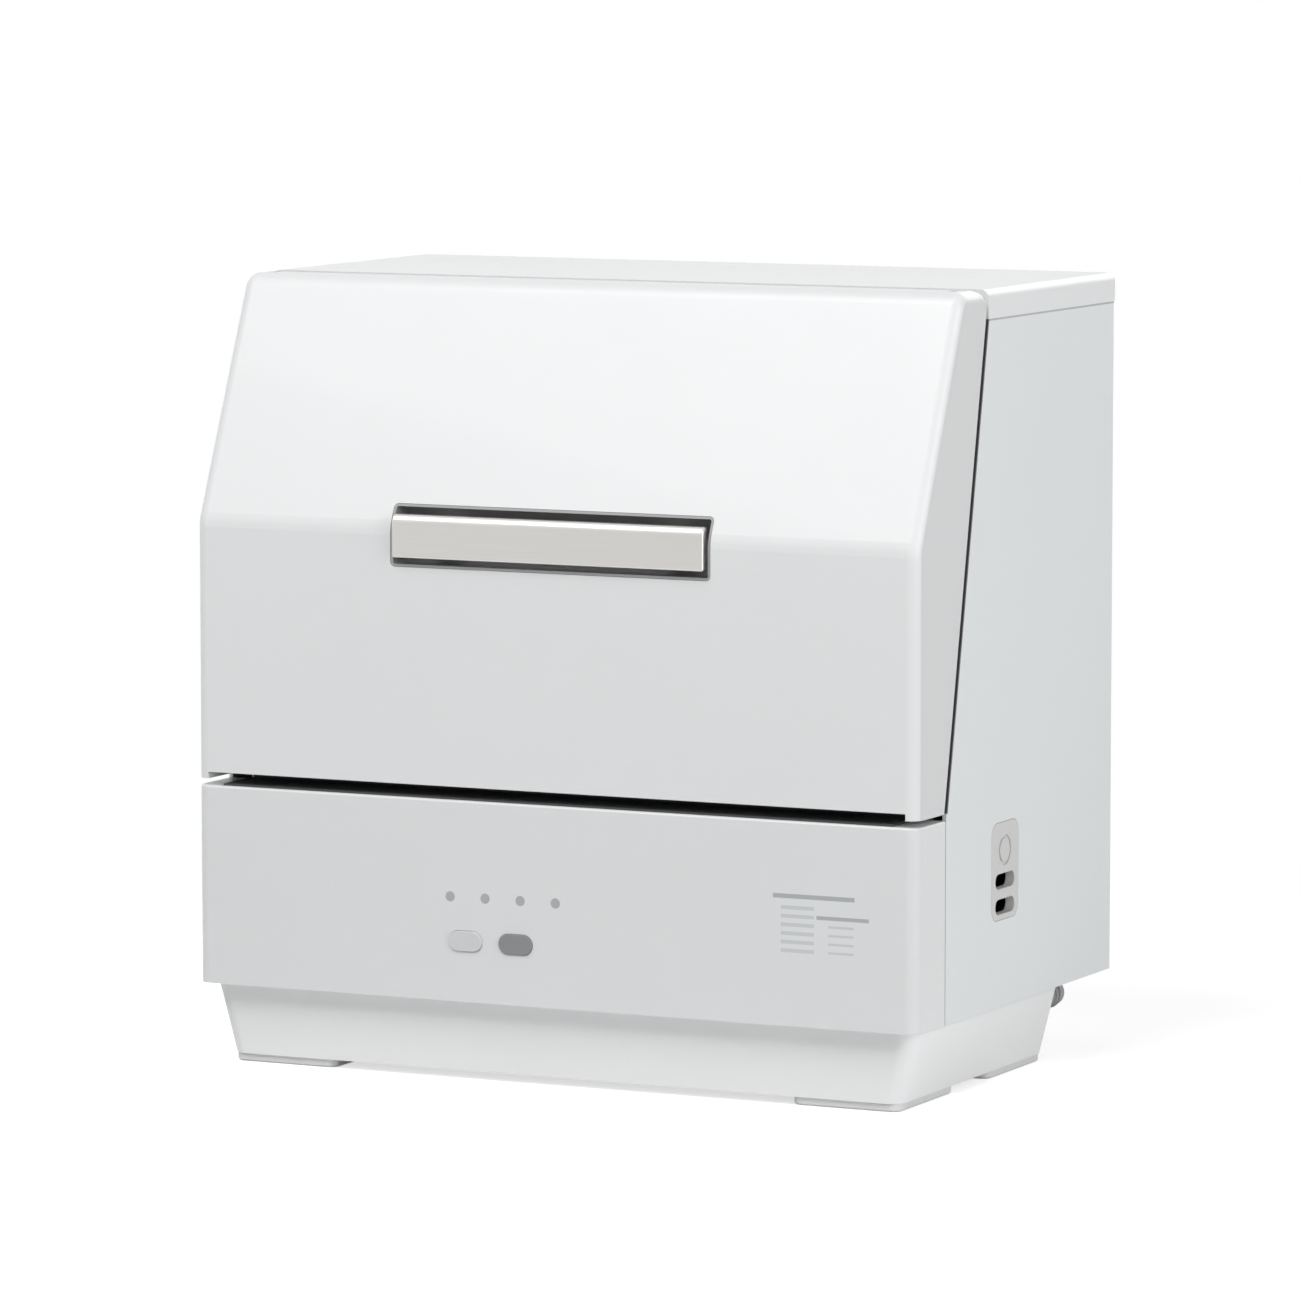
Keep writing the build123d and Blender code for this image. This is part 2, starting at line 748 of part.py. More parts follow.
def ahead_of_seam(radius, past):
    """Everything in front of the seam and round the hinge, or so far past the seam."""
    with BuildSketch(Plane.YZ) as region:
        Polygon(
            (-body_depth, 0),
            (-body_depth, hinge_z + radius),
            (hinge_y, hinge_z + radius),
            hinge_spot,
            seam_point(0, -past),
            (seam_y(0, past), 0),
            align=None,
        )
        with Locations(hinge_spot):
            Circle(radius)
    return region.sketch


def lid_hollow():
    """The hollow of the lid, open towards the cabinet and closed round the knuckle."""
    with BuildPart() as hollow:
        add(lid_prism(wall, lid_bottom + wall))
        extrude(
            ahead_of_seam(knuckle_radius - wall, overrun), amount=half_width, both=True, mode=Mode.INTERSECT
        )
    return hollow.part


with BuildPart() as lid_shell:
    add(lid_prism(0, skirt_bottom))
    extrude(ahead_of_seam(knuckle_radius, 0), amount=half_width, both=True, mode=Mode.INTERSECT)
    add(lid_hollow(), mode=Mode.SUBTRACT)
    # The underside stands higher than the skirts of the two cheeks
    with BuildSketch(Plane.XY.offset(skirt_bottom)):
        with Locations((0, front_y)):
            Rectangle(2 * (half_width - edge_round), body_depth)
    extrude(amount=lid_bottom - skirt_bottom, mode=Mode.SUBTRACT)
    # Opening for the handle, through the crease
    with BuildSketch(Plane.XZ.offset(-front_y + overrun)):
        with Locations((0, handle_z)):
            RectangleRounded(handle_hole_width, handle_hole_height, handle_hole_round)
    extrude(amount=-overrun - handle_depth, mode=Mode.SUBTRACT)
    # Webs beside the hinge ears, bored for the pins
    for side in (-1, 1):
        for start, reach in ((web_start, web_thickness), (outer_web_start, inner_half - outer_web_start)):
            with BuildSketch(Plane.YZ.offset(side * start)):
                with Locations(hinge_spot):
                    Circle(knuckle_radius - wall / 2)
                Polygon(
                    (hinge_y, hinge_z - knuckle_radius + wall),
                    (hinge_y - web_reach, hinge_z + knuckle_radius - 2 * wall),
                    (hinge_y - web_reach, hinge_z + knuckle_radius - wall / 2),
                    (hinge_y, hinge_z + knuckle_radius - wall / 2),
                    align=None,
                )
            extrude(amount=side * reach)
    extrude(ahead_of_seam(knuckle_radius, 0), amount=half_width, both=True, mode=Mode.INTERSECT)
    add(lid_prism(0, skirt_bottom), mode=Mode.INTERSECT)
    # Slots that let the hinge ears pass
    for side in (-1, 1):
        with BuildSketch(Plane.YZ.offset(side * (frame_x - ear_slot_play))):
            with Locations((hinge_y + knuckle_radius / 2 - lip_cut / 2, hinge_z)):
                Rectangle(knuckle_radius + lip_cut, 2 * knuckle_radius)
        extrude(amount=side * (frame_plate + 2 * ear_slot_play), mode=Mode.SUBTRACT)
    # Bores for the pins, blind in the cheeks
    for side in (-1, 1):
        with BuildSketch(Plane.YZ.offset(side * (web_start - overrun))):
            with Locations(hinge_spot):
                Circle(pin_radius + press)
        extrude(amount=side * (inner_half - web_start + overrun), mode=Mode.SUBTRACT)
    # Bosses in the cheeks for the liner's screws
    boss_plane = seam_plane(-liner_set_out - sheet)
    with BuildSketch(boss_plane):
        with Locations((0, liner_screw_up)):
            with liner_screw_spots():
                Circle(boss_radius)
    extrude(amount=boss_length)
    with BuildSketch(boss_plane):
        with Locations((0, liner_screw_up)):
            with liner_screw_spots():
                Circle(screw_radius + press)
    extrude(amount=boss_length - wall, mode=Mode.SUBTRACT)
finish(lid_shell.part, "lid_shell")

# Hinge pins with a head at the inner web
pin_head_radius = 6
pin_head = 1.5
with BuildPart() as hinge_pins:
    with BuildSketch(Plane.YZ.offset(web_start)):
        with Locations(hinge_spot):
            Circle(pin_radius)
    extrude(amount=inner_half - web_start - clearance)
    with BuildSketch(Plane.YZ.offset(web_start)):
        with Locations(hinge_spot):
            Circle(pin_head_radius)
    extrude(amount=-pin_head)
    mirror(about=Plane.YZ)
finish(hinge_pins.part, "hinge_pins")

# Lid liner: a deep pan that closes the wash room, with a flange for the seal
liner_gap = 24  # between the lid's faces and the liner
liner_grow = 2
liner_round = 12
liner_flange_low_gap = 13
liner_flange_low_z = tub_floor_z - liner_flange_low_gap
liner_flange_top = 15
liner_flange_play = 0.7
liner_half = tub_half + liner_grow
liner_height = tub_height + 2 * liner_grow


def liner_block(inset):
    """The liner's outer form, or its hollow, drawn so far inside it."""
    front = front_y + liner_gap + inset
    with BuildPart() as block:
        with BuildSketch(Plane.XZ):
            with Locations((0, tub_floor_z + tub_height / 2)):
                RectangleRounded(2 * (liner_half - inset), liner_height - 2 * inset, tub_round - inset)
        extrude(amount=body_depth)
        with BuildSketch(Plane.YZ):
            Polygon(
                (front, 0),
                (front, crease_z(liner_gap + inset)),
                (slope_y(body_height, liner_gap + inset), body_height),
                (seam_y(body_height, -liner_set_out - inset), body_height),
                (seam_y(0, -liner_set_out - inset), 0),
                align=None,
            )
        extrude(amount=body_width, both=True, mode=Mode.INTERSECT)
    return block.part


with BuildPart() as lid_liner:
    add(liner_block(0))
    flange_low = up_seam(liner_flange_low_z, -liner_set_out)
    with BuildSketch(seam_plane(-liner_set_out)):
        with Locations((0, (flange_low - liner_flange_top) / 2)):
            RectangleRounded(
                2 * (inner_half - liner_flange_play), -liner_flange_top - flange_low, liner_round / 2
            )
    extrude(amount=sheet)
    add(liner_block(sheet), mode=Mode.SUBTRACT)
    extrude(opening_outline(liner_grow - sheet, -liner_set_out + sheet), amount=2 * sheet, mode=Mode.SUBTRACT)
    with BuildSketch(seam_plane(-liner_set_out)):
        with Locations((0, liner_screw_up)):
            with liner_screw_spots():
                Circle(screw_radius + press)
    extrude(amount=sheet, mode=Mode.SUBTRACT)
finish(lid_liner.part, "lid_liner")

with BuildPart() as liner_screws:
    with BuildSketch(seam_plane(-liner_set_out)):
        with Locations((0, liner_screw_up)):
            with liner_screw_spots():
                Circle(liner_screw_head_radius)
    extrude(amount=-liner_screw_head)
    with BuildSketch(seam_plane(-liner_set_out)):
        with Locations((0, liner_screw_up)):
            with liner_screw_spots():
                Circle(screw_radius)
    extrude(amount=sheet + boss_length - 2 * wall)
finish(liner_screws.part, "liner_screws")

# Detergent cup on the inner pan, open at the top
detergent_x = -30
detergent_rise = 69
detergent_low_z = tub_floor_z + detergent_rise
detergent_width = 96
detergent_height = 52
detergent_stand = 14
detergent_wall = 1.8
detergent_round = 8
detergent_edge = 2
detergent_y = front_y + liner_gap + sheet
with BuildPart() as detergent_cup:
    with BuildSketch(Plane.XZ.offset(-detergent_y)):
        with Locations((detergent_x, detergent_low_z + detergent_height / 2)):
            RectangleRounded(detergent_width, detergent_height, detergent_round)
    extrude(amount=-detergent_stand)
    fillet(detergent_cup.faces().sort_by(Axis.Y)[-1].edges(), radius=detergent_edge)
    with BuildSketch(Plane.XY.offset(detergent_low_z + detergent_height)):
        with Locations((detergent_x, detergent_y + detergent_stand / 2)):
            with GridLocations(detergent_width / 2 - detergent_wall, 0, 2, 1):
                Rectangle(
                    detergent_width / 2 - 2 * detergent_wall - detergent_edge,
                    detergent_stand - 2 * detergent_wall,
                )
    extrude(amount=detergent_edge + detergent_wall - detergent_height, mode=Mode.SUBTRACT)
finish(detergent_cup.part, "detergent_cup")

# Handle: a dark cup in the lid's opening and a plated bar on two posts
cup_play = 0.2
cup_wall = 1.5
bar_width = 202
bar_height = 25.5
bar_thickness = 6
bar_top_round = 4.5
bar_edge_round = 1.2
bar_post_width = 16
bar_post_height = 12
bar_post_spread = 150
with BuildPart() as handle_cup:
    with BuildSketch(Plane.XZ.offset(-front_y)):
        with Locations((0, handle_z)):
            RectangleRounded(
                handle_hole_width - 2 * cup_play,
                handle_hole_height - 2 * cup_play,
                handle_hole_round - cup_play,
            )
    extrude(amount=-handle_depth)
    with BuildSketch(Plane.XZ.offset(-front_y)):
        with Locations((0, handle_z)):
            RectangleRounded(
                handle_hole_width - 2 * (cup_play + cup_wall),
                handle_hole_height - 2 * (cup_play + cup_wall),
                handle_hole_round - cup_play - cup_wall,
            )
    extrude(amount=-handle_depth + cup_wall, mode=Mode.SUBTRACT)
    add(lid_prism(cup_play, skirt_bottom), mode=Mode.INTERSECT)
finish(handle_cup.part, "handle_cup")

bar_front_y = front_y - handle_stand
cup_floor_y = front_y + handle_depth - cup_wall
with BuildPart() as handle_bar:
    with BuildSketch(Plane.YZ):
        with Locations((bar_front_y + bar_thickness / 2, handle_z)):
            Rectangle(bar_thickness, bar_height)
    extrude(amount=bar_width / 2, both=True)
    fillet(handle_bar.edges().filter_by(Axis.X).group_by(Axis.Z)[-1].sort_by(Axis.Y)[0], radius=bar_top_round)
    fillet(handle_bar.edges().filter_by(Axis.X).group_by(Axis.Z)[0], radius=bar_edge_round)
    fillet(handle_bar.faces().sort_by(Axis.Y)[0].edges().filter_by(Axis.Z), radius=bar_edge_round)
    with BuildSketch(Plane.XZ.offset(-bar_front_y - bar_thickness)):
        with Locations((0, handle_z)):
            with GridLocations(bar_post_spread, 0, 2, 1):
                RectangleRounded(bar_post_width, bar_post_height, bar_edge_round)
    extrude(amount=bar_front_y + bar_thickness - cup_floor_y)
finish(handle_bar.part, "handle_bar")

# Magnetic catches: magnets on the side frames, steel plates on the liner's flange
catch_low_gap = 2
catch_low_z = tub_floor_z - catch_low_gap
catch_length = 24
catch_depth = 16
magnet_stand = 0.2
catch_plate_gap = 0.5
catch_x = frame_x + frame_plate
catch_up = up_seam(catch_low_z)
catch_width = inner_half - liner_flange_play - catch_x
with BuildPart() as catch_magnets:
    with BuildSketch(Plane.YZ.offset(catch_x)):
        Polygon(
            seam_point(catch_up, magnet_stand),
            seam_point(catch_up + catch_length, magnet_stand),
            seam_point(catch_up + catch_length, magnet_stand - catch_depth),
            seam_point(catch_up, magnet_stand - catch_depth),
            align=None,
        )
    extrude(amount=catch_width)
    mirror(about=Plane.YZ)
finish(catch_magnets.part, "catch_magnets")

with BuildPart() as catch_plates:
    with BuildSketch(Plane.YZ.offset(catch_x)):
        Polygon(
            seam_point(catch_up, catch_plate_gap),
            seam_point(catch_up + catch_length, catch_plate_gap),
            seam_point(catch_up + catch_length, liner_set_out),
            seam_point(catch_up, liner_set_out),
            align=None,
        )
    extrude(amount=catch_width)
    mirror(about=Plane.YZ)
finish(catch_plates.part, "catch_plates")

# Sump: the filter well, the hub socket and the ports for pumps and hoses
sump_wall = 3.5
sump_flange = 3
sump_flange_width = 10
well_depth = 72
socket_depth = 38
socket_radius = 20
riser_radius = 8
neck_radius = 11
neck_bore = 8
wash_drop = 60
wash_z = tub_floor_z - wash_drop
drain_neck_drop = 54
drain_neck_z = tub_floor_z - drain_neck_drop
drain_volute_x = -24
fill_port_drop = 44
fill_port_z = tub_floor_z - fill_port_drop
fill_port_radius = 8
fill_radius = 5.5
fill_bore = 3.5
delivery_drop = 19
delivery_z = tub_floor_z - delivery_drop
delivery_radius = 8
delivery_bore = 6
port_stub = 6
well_outer = well_radius + sump_wall
wash_volute_x = well_x + well_outer + 2 * port_stub
fill_port_y = well_y + well_outer + port_stub
delivery_x = hub_x + socket_radius + port_stub
with BuildPart() as sump:
    with BuildSketch(Plane.XY.offset(tub_floor_z)):
        with Locations((well_x, well_y)):
            Circle(well_radius + sump_flange_width)
        with Locations((hub_x, hub_y)):
            Circle(hub_hole + sump_flange_width)
        make_hull()
    extrude(amount=-sump_flange)
    with BuildSketch(Plane.XY.offset(tub_floor_z)):
        with Locations((well_x, well_y)):
            Circle(well_outer)
    extrude(amount=-well_depth)
    with BuildSketch(Plane.XY.offset(tub_floor_z)):
        with Locations((hub_x, hub_y)):
            Circle(socket_radius)
    extrude(amount=-socket_depth)
    with BuildSketch(Plane.YZ.offset(well_x)):
        with Locations((well_y, wash_z)):
            Circle(neck_radius)
    extrude(amount=wash_volute_x - well_x)
    with BuildSketch(Plane.YZ.offset(well_x)):
        with Locations((well_y, drain_neck_z)):
            Circle(neck_radius)
    extrude(amount=drain_volute_x - well_x)
    with BuildSketch(Plane.YZ.offset(hub_x)):
        with Locations((hub_y, delivery_z)):
            Circle(delivery_radius + sheet)
    extrude(amount=delivery_x - hub_x)
    with BuildSketch(Plane.XZ.offset(-well_y)):
        with Locations((well_x, fill_port_z)):
            Circle(fill_port_radius)
    extrude(amount=well_y - fill_port_y)
    with BuildSketch(Plane.XY.offset(tub_floor_z)):
        with Locations((well_x, well_y)):
            Circle(well_radius)
    extrude(amount=sump_wall - well_depth, mode=Mode.SUBTRACT)
    with BuildSketch(Plane.XY.offset(tub_floor_z)):
        with Locations((hub_x, hub_y)):
            Circle(riser_radius + press)
    extrude(amount=sump_wall - socket_depth, mode=Mode.SUBTRACT)
    with BuildSketch(Plane.YZ.offset(well_x)):
        with Locations((well_y, wash_z)):
            Circle(neck_bore)
    extrude(amount=wash_volute_x - well_x, mode=Mode.SUBTRACT)
    with BuildSketch(Plane.YZ.offset(well_x)):
        with Locations((well_y, drain_neck_z)):
            Circle(neck_bore)
    extrude(amount=drain_volute_x - well_x, mode=Mode.SUBTRACT)
    with BuildSketch(Plane.YZ.offset(hub_x)):
        with Locations((hub_y, delivery_z)):
            Circle(delivery_bore)
    extrude(amount=delivery_x - hub_x, mode=Mode.SUBTRACT)
    with BuildSketch(Plane.XZ.offset(-well_y)):
        with Locations((well_x, fill_port_z)):
            Circle(fill_bore)
    extrude(amount=well_y - fill_port_y, mode=Mode.SUBTRACT)
finish(sump.part, "sump")

# Spray hub: the riser through the tub floor, with a shoulder and a journal for the arm
arm_rise = 14
arm_low_z = tub_floor_z + arm_rise
arm_thickness = 12
hub_shoulder_radius = 14
hub_shoulder = 7
journal_radius = 10
hub_bore = 5
arm_hub_height = 14
arm_radius = 92
arm_hub_radius = 18
arm_tip_radius = 10
arm_round = 3
jet_length = 9
jet_width = 2.5
jet_pitch = 22
jet_count = 7
cap_radius = 14
cap_height = 6
arm_top_z = arm_low_z + arm_hub_height
with BuildPart() as spray_hub:
    with BuildSketch(Plane.XZ.offset(-hub_y)):
        Polygon(
            (hub_bore, tub_floor_z - socket_depth + sump_wall),
            (riser_radius, tub_floor_z - socket_depth + sump_wall),
            (riser_radius, arm_low_z - clearance - hub_shoulder),
            (hub_shoulder_radius, arm_low_z - clearance - hub_shoulder),
            (hub_shoulder_radius, arm_low_z - clearance),
            (journal_radius, arm_low_z - clearance),
            (journal_radius, arm_top_z),
            (hub_bore, arm_top_z),
            align=None,
        )
    revolve(axis=Axis((hub_x, hub_y, 0), (0, 0, 1)))
    with BuildSketch(Plane.YZ.offset(hub_x)):
        with Locations((hub_y, delivery_z)):
            Circle(delivery_bore)
    extrude(amount=delivery_x - hub_x, mode=Mode.SUBTRACT)
finish(spray_hub.part, "spray_hub")

with BuildPart() as spray_cap:
    with BuildSketch(Plane.XY.offset(arm_top_z + clearance)):
        with Locations((hub_x, hub_y)):
            Circle(cap_radius)
    extrude(amount=cap_height)
    fillet(spray_cap.faces().sort_by(Axis.Z)[-1].edges(), radius=cap_height / 2)
    with BuildSketch(Plane.XY.offset(arm_top_z + clearance)):
        with Locations((hub_x, hub_y)):
            Circle(hub_bore - press)
    extrude(amount=-arm_hub_height)
finish(spray_cap.part, "spray_cap")

with BuildPart() as spray_arm:
    with BuildSketch(Plane.XY.offset(arm_low_z)):
        with Locations((hub_x, hub_y)):
            Circle(arm_hub_radius)
            with GridLocations(2 * (arm_radius - arm_tip_radius), 0, 2, 1):
                Circle(arm_tip_radius)
        make_hull()
    extrude(amount=arm_thickness)
    fillet(spray_arm.edges().group_by(Axis.Z)[-1] + spray_arm.edges().group_by(Axis.Z)[0], radius=arm_round)
    with BuildSketch(Plane.XY.offset(arm_low_z)):
        with Locations((hub_x, hub_y)):
            Circle(arm_hub_radius - arm_round)
    extrude(amount=arm_hub_height)
    with BuildSketch(Plane.XY.offset(arm_low_z + arm_thickness)):
        with Locations((hub_x, hub_y)):
            with GridLocations(jet_pitch, 0, jet_count, 1):
                SlotOverall(jet_length, jet_width, rotation=90)
    extrude(amount=-arm_round, mode=Mode.SUBTRACT)
    with BuildSketch(Plane.XY.offset(arm_low_z)):
        with Locations((hub_x, hub_y)):
            Circle(journal_radius + fit)
    extrude(amount=arm_hub_height, mode=Mode.SUBTRACT)
finish(spray_arm.part, "spray_arm")

# Wash pump: volute, impeller and motor on one axis along X, in line with the well's neck
volute_width = 22
volute_wall = 3
volute_radius = 37
volute_neck_y = -12
volute_neck_radius = 10
volute_neck_drop = 31
volute_neck_top = tub_floor_z - volute_neck_drop
shaft_radius = 3
shaft_hole = 4
shaft_length = 20
motor_radius = 33
motor_length = 66
motor_cap_radius = 12
motor_cap = 4
motor_fin_count = 12
motor_fin = 2
motor_fin_height = 1.5
impeller_gap = 4
impeller_disc = 4
impeller_blades = 6
motor_x = wash_volute_x + volute_width
with BuildPart() as wash_pump_housing:
    with BuildSketch(Plane.YZ.offset(wash_volute_x)):
        with Locations((well_y, wash_z)):
            Circle(volute_radius)
    extrude(amount=volute_width)
    with BuildSketch(Plane.XY.offset(wash_z)):
        with Locations((wash_volute_x + volute_width / 2, volute_neck_y)):
            Circle(volute_neck_radius)
    extrude(amount=volute_neck_top - wash_z)
    with BuildSketch(Plane.YZ.offset(wash_volute_x + volute_wall)):
        with Locations((well_y, wash_z)):
            Circle(volute_radius - volute_wall)
    extrude(amount=volute_width - 2 * volute_wall, mode=Mode.SUBTRACT)
    with BuildSketch(Plane.YZ.offset(wash_volute_x)):
        with Locations((well_y, wash_z)):
            Circle(neck_bore)
    extrude(amount=volute_wall, mode=Mode.SUBTRACT)
    with BuildSketch(Plane.YZ.offset(motor_x)):
        with Locations((well_y, wash_z)):
            Circle(shaft_hole)
    extrude(amount=-volute_wall, mode=Mode.SUBTRACT)
    with BuildSketch(Plane.XY.offset(volute_neck_top)):
        with Locations((wash_volute_x + volute_width / 2, volute_neck_y)):
            Circle(delivery_bore)
    extrude(amount=wash_z - volute_neck_top, mode=Mode.SUBTRACT)
finish(wash_pump_housing.part, "wash_pump_housing")

with BuildPart() as wash_motor:
    with BuildSketch(Plane.YZ.offset(motor_x)):
        with Locations((well_y, wash_z)):
            Circle(motor_radius - motor_fin_height)
            with PolarLocations(motor_radius - motor_fin, motor_fin_count):
                Rectangle(2 * motor_fin, motor_fin)
    extrude(amount=motor_length)
    with BuildSketch(Plane.YZ.offset(motor_x + motor_length)):
        with Locations((well_y, wash_z)):
            Circle(motor_cap_radius)
    extrude(amount=motor_cap)
    with BuildSketch(Plane.YZ.offset(motor_x)):
        with Locations((well_y, wash_z)):
            Circle(shaft_radius + fit)
    extrude(amount=shaft_length + motor_cap, mode=Mode.SUBTRACT)
finish(wash_motor.part, "wash_motor")

wash_disc_x = motor_x - volute_wall - impeller_gap / 2
with BuildPart() as wash_rotor:
    with BuildSketch(Plane.YZ.offset(wash_disc_x)):
        with Locations((well_y, wash_z)):
            Circle(volute_radius - volute_wall - impeller_gap)
    extrude(amount=-impeller_disc)
    with BuildSketch(Plane.YZ.offset(wash_disc_x - impeller_disc)):
        with Locations((well_y, wash_z)):
            with PolarLocations((volute_radius - volute_wall - impeller_gap) / 2, impeller_blades):
                Rectangle(volute_radius - volute_wall - 2 * impeller_gap, sheet)
            Circle(shaft_radius + sheet)
    extrude(amount=-volute_width + 2 * volute_wall + impeller_disc + impeller_gap)
    with BuildSketch(Plane.YZ.offset(wash_disc_x)):
        with Locations((well_y, wash_z)):
            Circle(shaft_radius)
    extrude(amount=motor_x - wash_disc_x + shaft_length)
finish(wash_rotor.part, "wash_rotor")

# Sheet cradle that carries the motor on the tray's ribs
cradle_half = 28
cradle_leg_inset = 10
cradle_rise = 12
with BuildPart() as pump_cradle:
    for leg_x in (motor_x + cradle_leg_inset, motor_x + motor_length - cradle_leg_inset):
        with BuildSketch(Plane.YZ.offset(leg_x)):
            with Locations((well_y, (rib_top_z + wash_z - motor_radius + cradle_rise) / 2)):
                Rectangle(2 * cradle_half, wash_z - motor_radius + cradle_rise - rib_top_z)
            with Locations((well_y, wash_z)):
                Circle(motor_radius + clearance, mode=Mode.SUBTRACT)
        extrude(amount=frame_plate)
    with BuildSketch(Plane.XY.offset(rib_top_z)):
        with Locations((motor_x + motor_length / 2, well_y)):
            Rectangle(motor_length, 2 * cradle_half)
    extrude(amount=frame_plate)
finish(pump_cradle.part, "pump_cradle")

# Delivery pipe from the volute to the hub socket
delivery_mid_x = 70
delivery_bend = 11
volute_neck_x = wash_volute_x + volute_width / 2


def tube(points, radii, radius, bore, start):
    """A hose with round bends: its ring-shaped section swept from its first end."""
    with BuildLine() as route:
        FilletPolyline(*points, radius=radii)
    with BuildSketch(start) as ring:
        Circle(radius)
        if bore > 0:
            Circle(bore, mode=Mode.SUBTRACT)
    with BuildPart() as hose:
        sweep(ring.sketch, path=route.line)
    return hose.part


with BuildPart() as delivery_pipe:
    add(
        tube(
            (
                (volute_neck_x, volute_neck_y, volute_neck_top),
                (volute_neck_x, volute_neck_y, delivery_z),
                (delivery_mid_x, hub_y, delivery_z),
                (delivery_x, hub_y, delivery_z),
            ),
            (delivery_bend, delivery_bend),
            delivery_radius,
            delivery_bore,
            Plane((volute_neck_x, volute_neck_y, volute_neck_top)),
        )
    )
finish(delivery_pipe.part, "delivery_pipe")

# Drain pump: a small volute on the well's other neck, and its square motor
drain_volute_width = 16
drain_volute_wall = 2.5
drain_volute_radius = 25
drain_motor_length = 50
drain_motor_size = 42
drain_motor_round = 6
drain_port_drop = 41
drain_port_z = tub_floor_z - drain_port_drop
drain_port_y = -12
drain_port_radius = 7.5
drain_port_bore = 5
drain_impeller_radius = 17
drain_blades = 4
drain_shaft_length = 16
drain_motor_x = drain_volute_x - drain_volute_width
drain_port_x = drain_volute_x - drain_volute_width / 2
with BuildPart() as drain_pump:
    with BuildSketch(Plane.YZ.offset(drain_volute_x)):
        with Locations((well_y, drain_neck_z)):
            Circle(drain_volute_radius)
    extrude(amount=-drain_volute_width)
    with BuildSketch(Plane.XZ.offset(-well_y)):
        with Locations((drain_port_x, drain_port_z)):
            Circle(drain_port_radius)
    extrude(amount=well_y - drain_port_y)
    with BuildSketch(Plane.YZ.offset(drain_motor_x)):
        with Locations((well_y, drain_neck_z)):
            RectangleRounded(drain_motor_size, drain_motor_size, drain_motor_round)
    extrude(amount=-drain_motor_length)
    with BuildSketch(Plane.YZ.offset(drain_volute_x - drain_volute_wall)):
        with Locations((well_y, drain_neck_z)):
            Circle(drain_volute_radius - drain_volute_wall)
    extrude(amount=2 * drain_volute_wall - drain_volute_width, mode=Mode.SUBTRACT)
    with BuildSketch(Plane.YZ.offset(drain_volute_x)):
        with Locations((well_y, drain_neck_z)):
            Circle(neck_bore)
    extrude(amount=-drain_volute_wall, mode=Mode.SUBTRACT)
    with BuildSketch(Plane.YZ.offset(drain_motor_x + drain_volute_wall)):
        with Locations((well_y, drain_neck_z)):
            Circle(shaft_radius + fit)
    extrude(amount=-drain_volute_wall - drain_shaft_length - motor_cap, mode=Mode.SUBTRACT)
    with BuildSketch(Plane.XZ.offset(-drain_port_y)):
        with Locations((drain_port_x, drain_port_z)):
            Circle(drain_port_bore)
    extrude(amount=drain_port_y - well_y, mode=Mode.SUBTRACT)
finish(drain_pump.part, "drain_pump")

drain_disc_x = drain_motor_x + drain_volute_wall + clearance + sheet
with BuildPart() as drain_rotor:
    with BuildSketch(Plane.YZ.offset(drain_disc_x)):
        with Locations((well_y, drain_neck_z)):
            Circle(drain_impeller_radius)
    extrude(amount=-sheet)
    with BuildSketch(Plane.YZ.offset(drain_disc_x)):
        with Locations((well_y, drain_neck_z)):
            with PolarLocations(drain_impeller_radius / 2, drain_blades):
                Rectangle(drain_impeller_radius - sheet, sheet)
            Circle(shaft_radius + sheet)
    extrude(amount=drain_volute_x - drain_volute_wall - sheet - drain_disc_x)
    with BuildSketch(Plane.YZ.offset(drain_disc_x - sheet)):
        with Locations((well_y, drain_neck_z)):
            Circle(shaft_radius)
    extrude(amount=-drain_shaft_length - drain_volute_wall)
finish(drain_rotor.part, "drain_rotor")

# Ports in the plinth's rear wall, each with a collar inside and a stub outside
plinth_inner_y = plinth_rear_y - wall
port_collar_grow = 1.5
port_shoulder = 1.5
port_inner_y = plinth_inner_y - port_collar


def port_body(x, z, radius, bore, reach):
    """A tube through the plinth's rear wall with a collar against the wall's inner face."""
    inner_end = port_inner_y - port_stub
    outer_end = plinth_rear_y + reach
    with BuildPart() as port:
        with BuildSketch(Plane.XZ.offset(-inner_end)):
            with Locations((x, z)):
                Circle(radius + port_step)
        extrude(amount=inner_end - plinth_rear_y - port_shoulder)
        with BuildSketch(Plane.XZ.offset(-plinth_rear_y)):
            with Locations((x, z)):
                Circle(radius)
        extrude(amount=-reach)
        with BuildSketch(Plane.XZ.offset(-port_inner_y)):
            with Locations((x, z)):
                Circle(radius + port_step + port_collar_grow)
        extrude(amount=-port_collar)
        with BuildSketch(Plane.XZ.offset(-outer_end)):
            with Locations((x, z)):
                Circle(bore)
        extrude(amount=outer_end - inner_end, mode=Mode.SUBTRACT)
    return port.part


with BuildPart() as drain_spigot:
    add(port_body(spigot_x, spigot_z, spigot_radius, spigot_bore, spigot_reach))
finish(drain_spigot.part, "drain_spigot")

gland_nut_grow = 3
gland_nut_length = 9
gland_nut_sides = 6
with BuildPart() as cord_gland:
    add(port_body(gland_x, gland_z, gland_radius, gland_bore, port_reach))
    with BuildSketch(Plane.XZ.offset(-plinth_rear_y - port_shoulder)):
        with Locations((gland_x, gland_z)):
            RegularPolygon(gland_radius + gland_nut_grow, gland_nut_sides)
            Circle(gland_radius - press, mode=Mode.SUBTRACT)
    extrude(amount=-gland_nut_length)
finish(cord_gland.part, "cord_gland")

